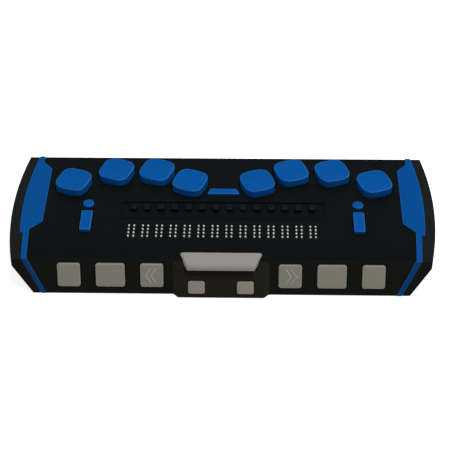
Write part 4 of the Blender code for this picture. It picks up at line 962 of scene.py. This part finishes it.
def build_navigation(blue):
    """A rocker and a round button on each side of the reading line."""
    tools = []
    bar = round_corners(centred(NAV_ROCKER_WIDTH, NAV_ROCKER_LENGTH), NAV_ROCKER_CORNER, 6)
    disc = circle(NAV_BUTTON_RADIUS, 48)
    for hand in ("left", "right"):
        node = "nav_rocker_" + hand
        place = over(node)
        body = cap("body", bar, place, low=-WALL - ROCKER_DROP, high=0.0014, edge=0.0003, dish=0.0002)
        piece = joined("nav_rocker_cap_" + hand, body, trunnions(NAV_SEAT, place))
        dress(piece, blue, node, node, slot="key_blue")
        tools.append(mouth("rocker", bar, THROUGH, place, ROCKER_GAP))
        node = "nav_button_" + hand
        place = over(node)
        body = cap("body", disc, place, high=0.0010, edge=0.0003, dish=-0.0002)
        piece = lipped("nav_cap_" + hand, body, centred(NAV_SEAT + LIP_SPREAD, NAV_SEAT / 2), place)
        dress(piece, blue, node, node, slot="key_blue")
        tools.append(mouth("nav", disc, THROUGH, place))
    return tools


def build_space_bar(grey):
    """The falling trapezium that overhangs the nose, with its lip and stem below the deck."""
    front_y = FRONT_Y - SPACE_FRONT
    back_y = FRONT_Y + SPACE_BACK
    back_z = DECK_Z - BAND_DROP * (CREASE_Y - back_y) / BAND_DEPTH + SPACE_RISE
    low_z = back_z - SPACE_FALL - SPACE_THICKNESS
    fall = SPACE_FALL / (back_y - front_y)
    lean = atan2(SPACE_SPLAY, back_y - front_y)

    def ring(drop, front=0.0, back=0.0, ends=0.0):
        """The bar's outline drawn in at its front, back and slanted ends, at a depth below its top."""
        corners = []
        for side, y in ((-1, front_y + front), (1, front_y + front), (1, back_y - back), (-1, back_y - back)):
            corners.append((side * (SPACE_HALF + (y - front_y) * tan(lean) - ends / cos(lean)), y))
        return [Vector((point.x, point.y, back_z - drop - fall * (back_y - point.y)))
                for point in round_corners(corners, SPACE_CORNER, 6)]

    rings = [flat(ring(0), low_z), ring(SPACE_ROUND)]
    for step in range(1, 9):
        angle = pi / 2 * step / 8
        drop = SPACE_ROUND * (1 - sin(angle))
        rise = max(0, SPACE_CORNER - drop)
        rings.append(ring(drop, front=SPACE_ROUND * (1 - cos(angle)), ends=max(0, SPACE_FACET - drop),
                          back=SPACE_CORNER - sqrt(SPACE_CORNER ** 2 - rise ** 2)))
    bar = loft("space_cap", rings)
    outline = [point.xy for point in ring(0)]
    lip_z = back_z - SPACE_RISE - WALL - SPACE_LIP_GAP
    lip_low = lip_z - LIP_THICKNESS
    lip_front = back_y - SPACE_ROOT_DEPTH
    root = block("root", -SPACE_ROOT_HALF, SPACE_ROOT_HALF, lip_front, back_y - SPACE_ROOT_SETBACK,
                 lip_low, low_z + LIP_THICKNESS)
    lip = block("lip", -SPACE_ROOT_HALF, SPACE_ROOT_HALF, lip_front, back_y + SPACE_LIP_REACH, lip_low, lip_z)
    stem = block("stem", -SPACE_STEM_HALF, SPACE_STEM_HALF, lip_front, lip_front + SPACE_STEM_HALF,
                 SWITCH_TOP_Z, lip_z - SPACE_STEM_SINK)
    dress(joined("space_bar_cap", bar, root, lip, stem), grey, "space_bar", "space_bar", slot="bar_grey")
    return [prism("pocket", offset_outline(outline, SPACE_GAP), low_z - SPACE_POCKET, ABOVE_ALL)]


# Front controls

FACE_BUTTON_RISE, FACE_POCKET = 0.0008, 0.0017
FACE_BUTTON_Z = (CASE_LOW.z + FRONT_Z) / 2 + FACE_BUTTON_RISE
FACE_BUTTON_HEIGHT, FACE_BUTTON_CORNER, FACE_BUTTON_DROP, FACE_LIP_HEIGHT = 0.0113, 0.0012, 0.0002, 0.0080
FACE_KINDS = (("panning_button_", 0.01035, 0.00025), ("rocker_bar_", 0.0131, ROCKER_GAP),
              ("selector_button_", 0.0103, 0.00025))
ARROW_TIPS = (0.0031, 0.0007)
ARROW_REACH, ARROW_HALF, ARROW_WIDTH, ARROW_BEVEL = 0.0022, 0.0034, 0.0007, 0.00025
ARROW_LEVELS = (0.0006, 0.00105, 0.00135)
SHIFT_WIDTH, SHIFT_HEIGHT, SHIFT_CORNER, SHIFT_POCKET = 0.0075, 0.0060, 0.0010, 0.0023
SHIFT_X, SHIFT_RISE = 0.0110, 0.0043
SHIFT_Z = CASE_LOW.z + SHIFT_RISE
NECK_WIDTH, NECK_HEIGHT, NECK_RISE, NECK_SINK, NECK_GAP = 0.0044, 0.0024, 0.0008, 0.0006, 0.0004


def chevron(tip, side):
    """An arrow's outline; its tip points away from the middle of the case."""
    foot = tip - ARROW_REACH
    points = [(tip, 0), (foot, ARROW_HALF), (foot - ARROW_WIDTH, ARROW_HALF), (tip - ARROW_WIDTH, 0),
              (foot - ARROW_WIDTH, -ARROW_HALF), (foot, -ARROW_HALF)]
    return mirrored([Vector(point) for point in points], side)


def build_front_buttons(grey):
    """A panning button with a double arrow, a rocker bar and a selector on each half."""
    tools = []
    for side, hand in SIDES:
        for kind, width, gap in FACE_KINDS:
            node = kind + hand
            place = shifted(face_frame(middle(node).x, FACE_BUTTON_Z), y=-FACE_BUTTON_DROP)
            outline = round_corners(centred(width, FACE_BUTTON_HEIGHT), FACE_BUTTON_CORNER)
            solids = [cap("body", outline, place, high=0.0010, edge=0.0004, dish=-0.00012)]
            if kind == "rocker_bar_":
                solids.append(trunnions(width, place))
            else:
                solids.append(prism("lip", centred(width + LIP_SPREAD, FACE_LIP_HEIGHT),
                                    LIP_Z, LIP_Z + LIP_THICKNESS, place))
            if kind == "panning_button_":
                for tip in ARROW_TIPS:
                    outer = chevron(tip, side)
                    outlines = (outer, outer, offset_outline(outer, -ARROW_BEVEL))
                    solids.append(loft("arrow", [flat(*ring) for ring in zip(outlines, ARROW_LEVELS)], place))
            name = node.replace("button", "cap").replace("bar", "cap")
            dress(joined(name, *solids), grey, node, node, slot="button_grey")
            tools.append(mouth(kind, outline, WALL + FACE_POCKET, place, gap))
    return tools


def build_shift_buttons(grey):
    """Two small buttons on the nose, on necks through its wall."""
    tools = []
    outline = round_corners(centred(SHIFT_WIDTH, SHIFT_HEIGHT), SHIFT_CORNER)
    for side, hand in SIDES:
        node = "shift_button_" + hand
        place = nose_frame(side * SHIFT_X, SHIFT_Z)
        wall = (face_y(SHIFT_Z) + WALL / cos(FACE_TILT) - place.translation.y) * place.to_3x3().col[1].z
        low = -wall - LIP_DROP
        body = cap("body", outline, place, low=-0.0012, high=0.0007, edge=0.0004, dish=-0.0001)
        raised = shifted(place, y=NECK_RISE)
        neck = prism("neck", centred(NECK_WIDTH, NECK_HEIGHT), low, -NECK_SINK, raised)
        lip = prism("lip", centred(NECK_WIDTH + LIP_SPREAD, NECK_HEIGHT), low, low + LIP_THICKNESS, raised)
        dress(joined("shift_cap_" + hand, body, neck, lip), grey, node, node, slot="button_grey")
        tools.append(mouth("shift", outline, SHIFT_POCKET, place))
        hole = centred(NECK_WIDTH + NECK_GAP, NECK_HEIGHT + NECK_GAP)
        tools.append(prism("neck_hole", hole, low, 0, raised))
    return tools


# Back wall

POWER_X, POWER_RADIUS, DISH_DEPTH = middle("power_button").x, 0.0026, 0.0006
DISH_RINGS = ((0.0036, 0), (0.0038, DISH_DEPTH), (0.0044, 2 * DISH_DEPTH))
SOCKET_WIDTH, SOCKET_HEIGHT, SOCKET_CORNER, SOCKET_RISE = 0.0080, 0.0039, 0.0009, 0.0018
SOCKET_X = middle("usb_socket").x
SOCKET_Z = PLATE_Z + SOCKET_RISE + SOCKET_HEIGHT / 2
SOCKET_RINGS = ((0, -0.0070), (0, -0.0001), (0.0001, 0), (0.0003, 0), (0.0004, -0.0001), (0.0004, -0.0058))
TONGUE_WIDTH, TONGUE_THICKNESS, TONGUE_ROOT, TONGUE_TIP = 0.0044, 0.0009, -0.0062, -0.0008
CONTACT_WIDTH, CONTACT_THICKNESS, CONTACT_PITCH, CONTACT_RISE = 0.00035, 0.00008, 0.0008, 0.00044
CONTACT_MARGIN = 0.0006


def build_socket(steel, black, gold):
    """The socket's rolled shell, and a tongue with contacts."""
    place = back_frame(SOCKET_X, SOCKET_Z)
    outline = round_corners(centred(SOCKET_WIDTH, SOCKET_HEIGHT), SOCKET_CORNER, 6)
    rings = [flat(offset_outline(outline, -inset), z) for inset, z in SOCKET_RINGS]
    dress(bake(loft("socket_shell", rings, place)), steel, "case", "usb_socket", slot="socket_steel")
    tongue = prism("tongue", centred(TONGUE_WIDTH, TONGUE_THICKNESS), TONGUE_ROOT, TONGUE_TIP, place)
    solids = [tinted(soften(tongue, FINE_EDGE), 0)]
    for number in range(-2, 3):
        spot = Vector((number * CONTACT_PITCH, CONTACT_RISE))
        outer = [spot + point for point in centred(CONTACT_WIDTH, CONTACT_THICKNESS)]
        contact = prism("contact", outer, TONGUE_ROOT + CONTACT_MARGIN, TONGUE_TIP - CONTACT_MARGIN, place)
        solids.append(tinted(contact, 1))
    dress(joined("socket_tongue", *solids), (black, gold), "case", slot="socket_steel")
    return [mouth("socket", outline, THROUGH, place)]


def build_power_button(satin):
    """A round button in a shallow dish."""
    place = shifted(back_frame(POWER_X, SOCKET_Z), z=-DISH_DEPTH)
    disc = circle(POWER_RADIUS, 48)
    low = LIP_Z + DISH_DEPTH
    body = cap("body", disc, place, low=low, high=0.0004, edge=0.0002, dish=0.0001)
    piece = lipped("power_cap", body, centred(2 * POWER_RADIUS + LIP_SPREAD, POWER_RADIUS), place, low)
    dress(piece, satin, "power_button", "power_button", slot="router_black")
    dish = loft("dish", [flat(circle(radius, 48), z) for radius, z in DISH_RINGS], place)
    return [dish, mouth("power", disc, WALL, place)]


# Materials of the inner nodes

def board_green():
    """Solder mask over copper, with pale pads."""
    paint = Paint("board", 0.35)
    tracks = paint.node("ShaderNodeTexVoronoi", feature="DISTANCE_TO_EDGE")
    tracks.inputs["Scale"].default_value = 260
    paint.join(paint.place, tracks.inputs["Vector"])
    lines = paint.reach(tracks.outputs["Distance"], 0, 1, start=0.02, end=0.08)
    paint.colour(paint.mix(lines, (0.02, 0.12, 0.05), (0.008, 0.055, 0.024)))
    paint.roughness(paint.reach(paint.noise(0.004, 3), 0.28, 0.45))
    paint.bump(lines, 0.00002)
    return paint.material


def foil():
    """Wrinkled silver film round the battery."""
    paint = Paint("foil", 0.32, metallic=0.6)
    wrinkle = paint.noise(0.003, 5, (1, 0.3, 1))
    paint.colour(paint.mix(wrinkle, (0.34, 0.35, 0.36), (0.55, 0.56, 0.57)))
    paint.roughness(paint.reach(wrinkle, 0.25, 0.45))
    paint.bump(wrinkle, 0.00012)
    return paint.material


def metal(name, colour, rough):
    """Plated metal with fine lengthwise scratches."""
    paint = Paint(name, rough, metallic=1.0)
    lines = paint.noise(0.0003, 3, (1, 0.08, 1))
    paint.colour(paint.mix(lines, shade(colour, 0.85), shade(colour, 1.1)))
    paint.roughness(paint.reach(lines, rough - 0.08, rough + 0.12))
    paint.bump(lines, 0.000006)
    return paint.material


def repaint(node, material):
    """A carried-over solid gets a procedural material."""
    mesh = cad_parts[node].data
    mesh.materials.clear()
    mesh.materials.append(material)


shell_black = plastic("shell_black", (0.0028, 0.004, 0.0042), (0.01, 0.012, 0.012), 0.5)
# Lighter copies of the shell black for the front face and for the nose: painted light; the nose's facet edges
# also take a painted highlight.
front_black_painted_light = plastic("front_black_painted_light", (0.008, 0.0092, 0.0072), (0.018, 0.019, 0.016), 0.55)
nose_black_painted_light = plastic("nose_black_painted_light", (0.018, 0.0165, 0.0125), (0.036, 0.033, 0.027), 0.6, full=0.975)
side_black = plastic("side_black", (0.0093, 0.012, 0.0122), (0.02, 0.024, 0.024), 0.55)
plate_black = plastic("plate_black", (0.003, 0.0044, 0.005), (0.01, 0.012, 0.013), 0.45,
                      grain=0.0002, relief=0.000006)
router_black = plastic("router_black", (0.0038, 0.0052, 0.0062), (0.014, 0.016, 0.018), 0.42, 0.03,
                       grain=0.0002, relief=0.000006)
# Each plastic's second colour is its edge colour: partly wear, partly a painted highlight, brightest on the
# keys.
key_blue = plastic("key_blue", (0.0012, 0.092, 0.365), (0.09, 0.37, 0.8), 0.34,
                   grain=0.00018, relief=0.000004, shift=0.04)
trim_blue = plastic("trim_blue", (0.0016, 0.079, 0.31), (0.03, 0.19, 0.52), 0.55, shift=0.05)
# A darker copy of the trim blue for the stripe on the front face: painted shade.
front_blue_painted_shade = plastic("front_blue_painted_shade", (0.004, 0.053, 0.2), (0.02, 0.12, 0.36), 0.55, shift=0.05)
# The front buttons, the shift buttons and the space bar share one grey; its copies differ to paint shade on
# the front buttons and light on the nose's shift buttons.
button_grey = plastic("button_grey", (0.27, 0.255, 0.21), (0.52, 0.505, 0.45), 0.45, 0.08,
                      grain=0.0002, relief=0.000005, shift=0.05)
shift_grey_painted_light = plastic("shift_grey_painted_light", (0.31, 0.285, 0.236), (0.52, 0.505, 0.45), 0.45, 0.08,
                     grain=0.0002, relief=0.000005, shift=0.05)
bar_grey = plastic("bar_grey", (0.315, 0.308, 0.277), (0.46, 0.45, 0.42), 0.42, 0.08,
                   grain=0.0002, relief=0.000005, shift=0.04)
pin_white = plastic("pin_white", (0.86, 0.86, 0.84), (0.9, 0.9, 0.89), 0.3, 0.4,
                    grain=0.00008, relief=0.000002, shift=0.02)
reed_amber = plastic("reed_amber", (0.22, 0.15, 0.06), (0.3, 0.22, 0.1), 0.4, 0.4)
rubber = plastic("rubber", (0.012, 0.012, 0.012), (0.02, 0.02, 0.02), 0.85, 0.1, grain=0.0005,
                 relief=0.00002)
frame_grey = plastic("frame_grey", (0.05, 0.052, 0.055), (0.08, 0.082, 0.085), 0.6, 0.3)
steel = metal("steel", (0.55, 0.55, 0.56), 0.3)
gold = metal("gold", (0.8, 0.56, 0.2), 0.28)

bpy.context.scene.view_settings.view_transform = "Standard"
make_camera()
make_world(strength=0.36)
make_floor()
make_light(place=(0.45, -0.05, 1.45), size=1.0, power=13.7)

openings = build_keys(key_blue) + build_menu(key_blue) + build_routers(router_black)
openings += build_navigation(key_blue) + build_space_bar(bar_grey) + build_front_buttons(button_grey)
openings += build_shift_buttons(shift_grey_painted_light) + build_cover(plate_black)
openings += build_socket(steel, router_black, gold) + build_power_button(router_black)
build_top_case((shell_black, front_black_painted_light, nose_black_painted_light, side_black),
               build_trims(trim_blue, front_blue_painted_shade) + openings)
build_bottom(shell_black, rubber, steel)
build_cells(pin_white, reed_amber, router_black)
repaint("inner_frame", frame_grey)
repaint("main_board", board_green())
repaint("battery", foil())
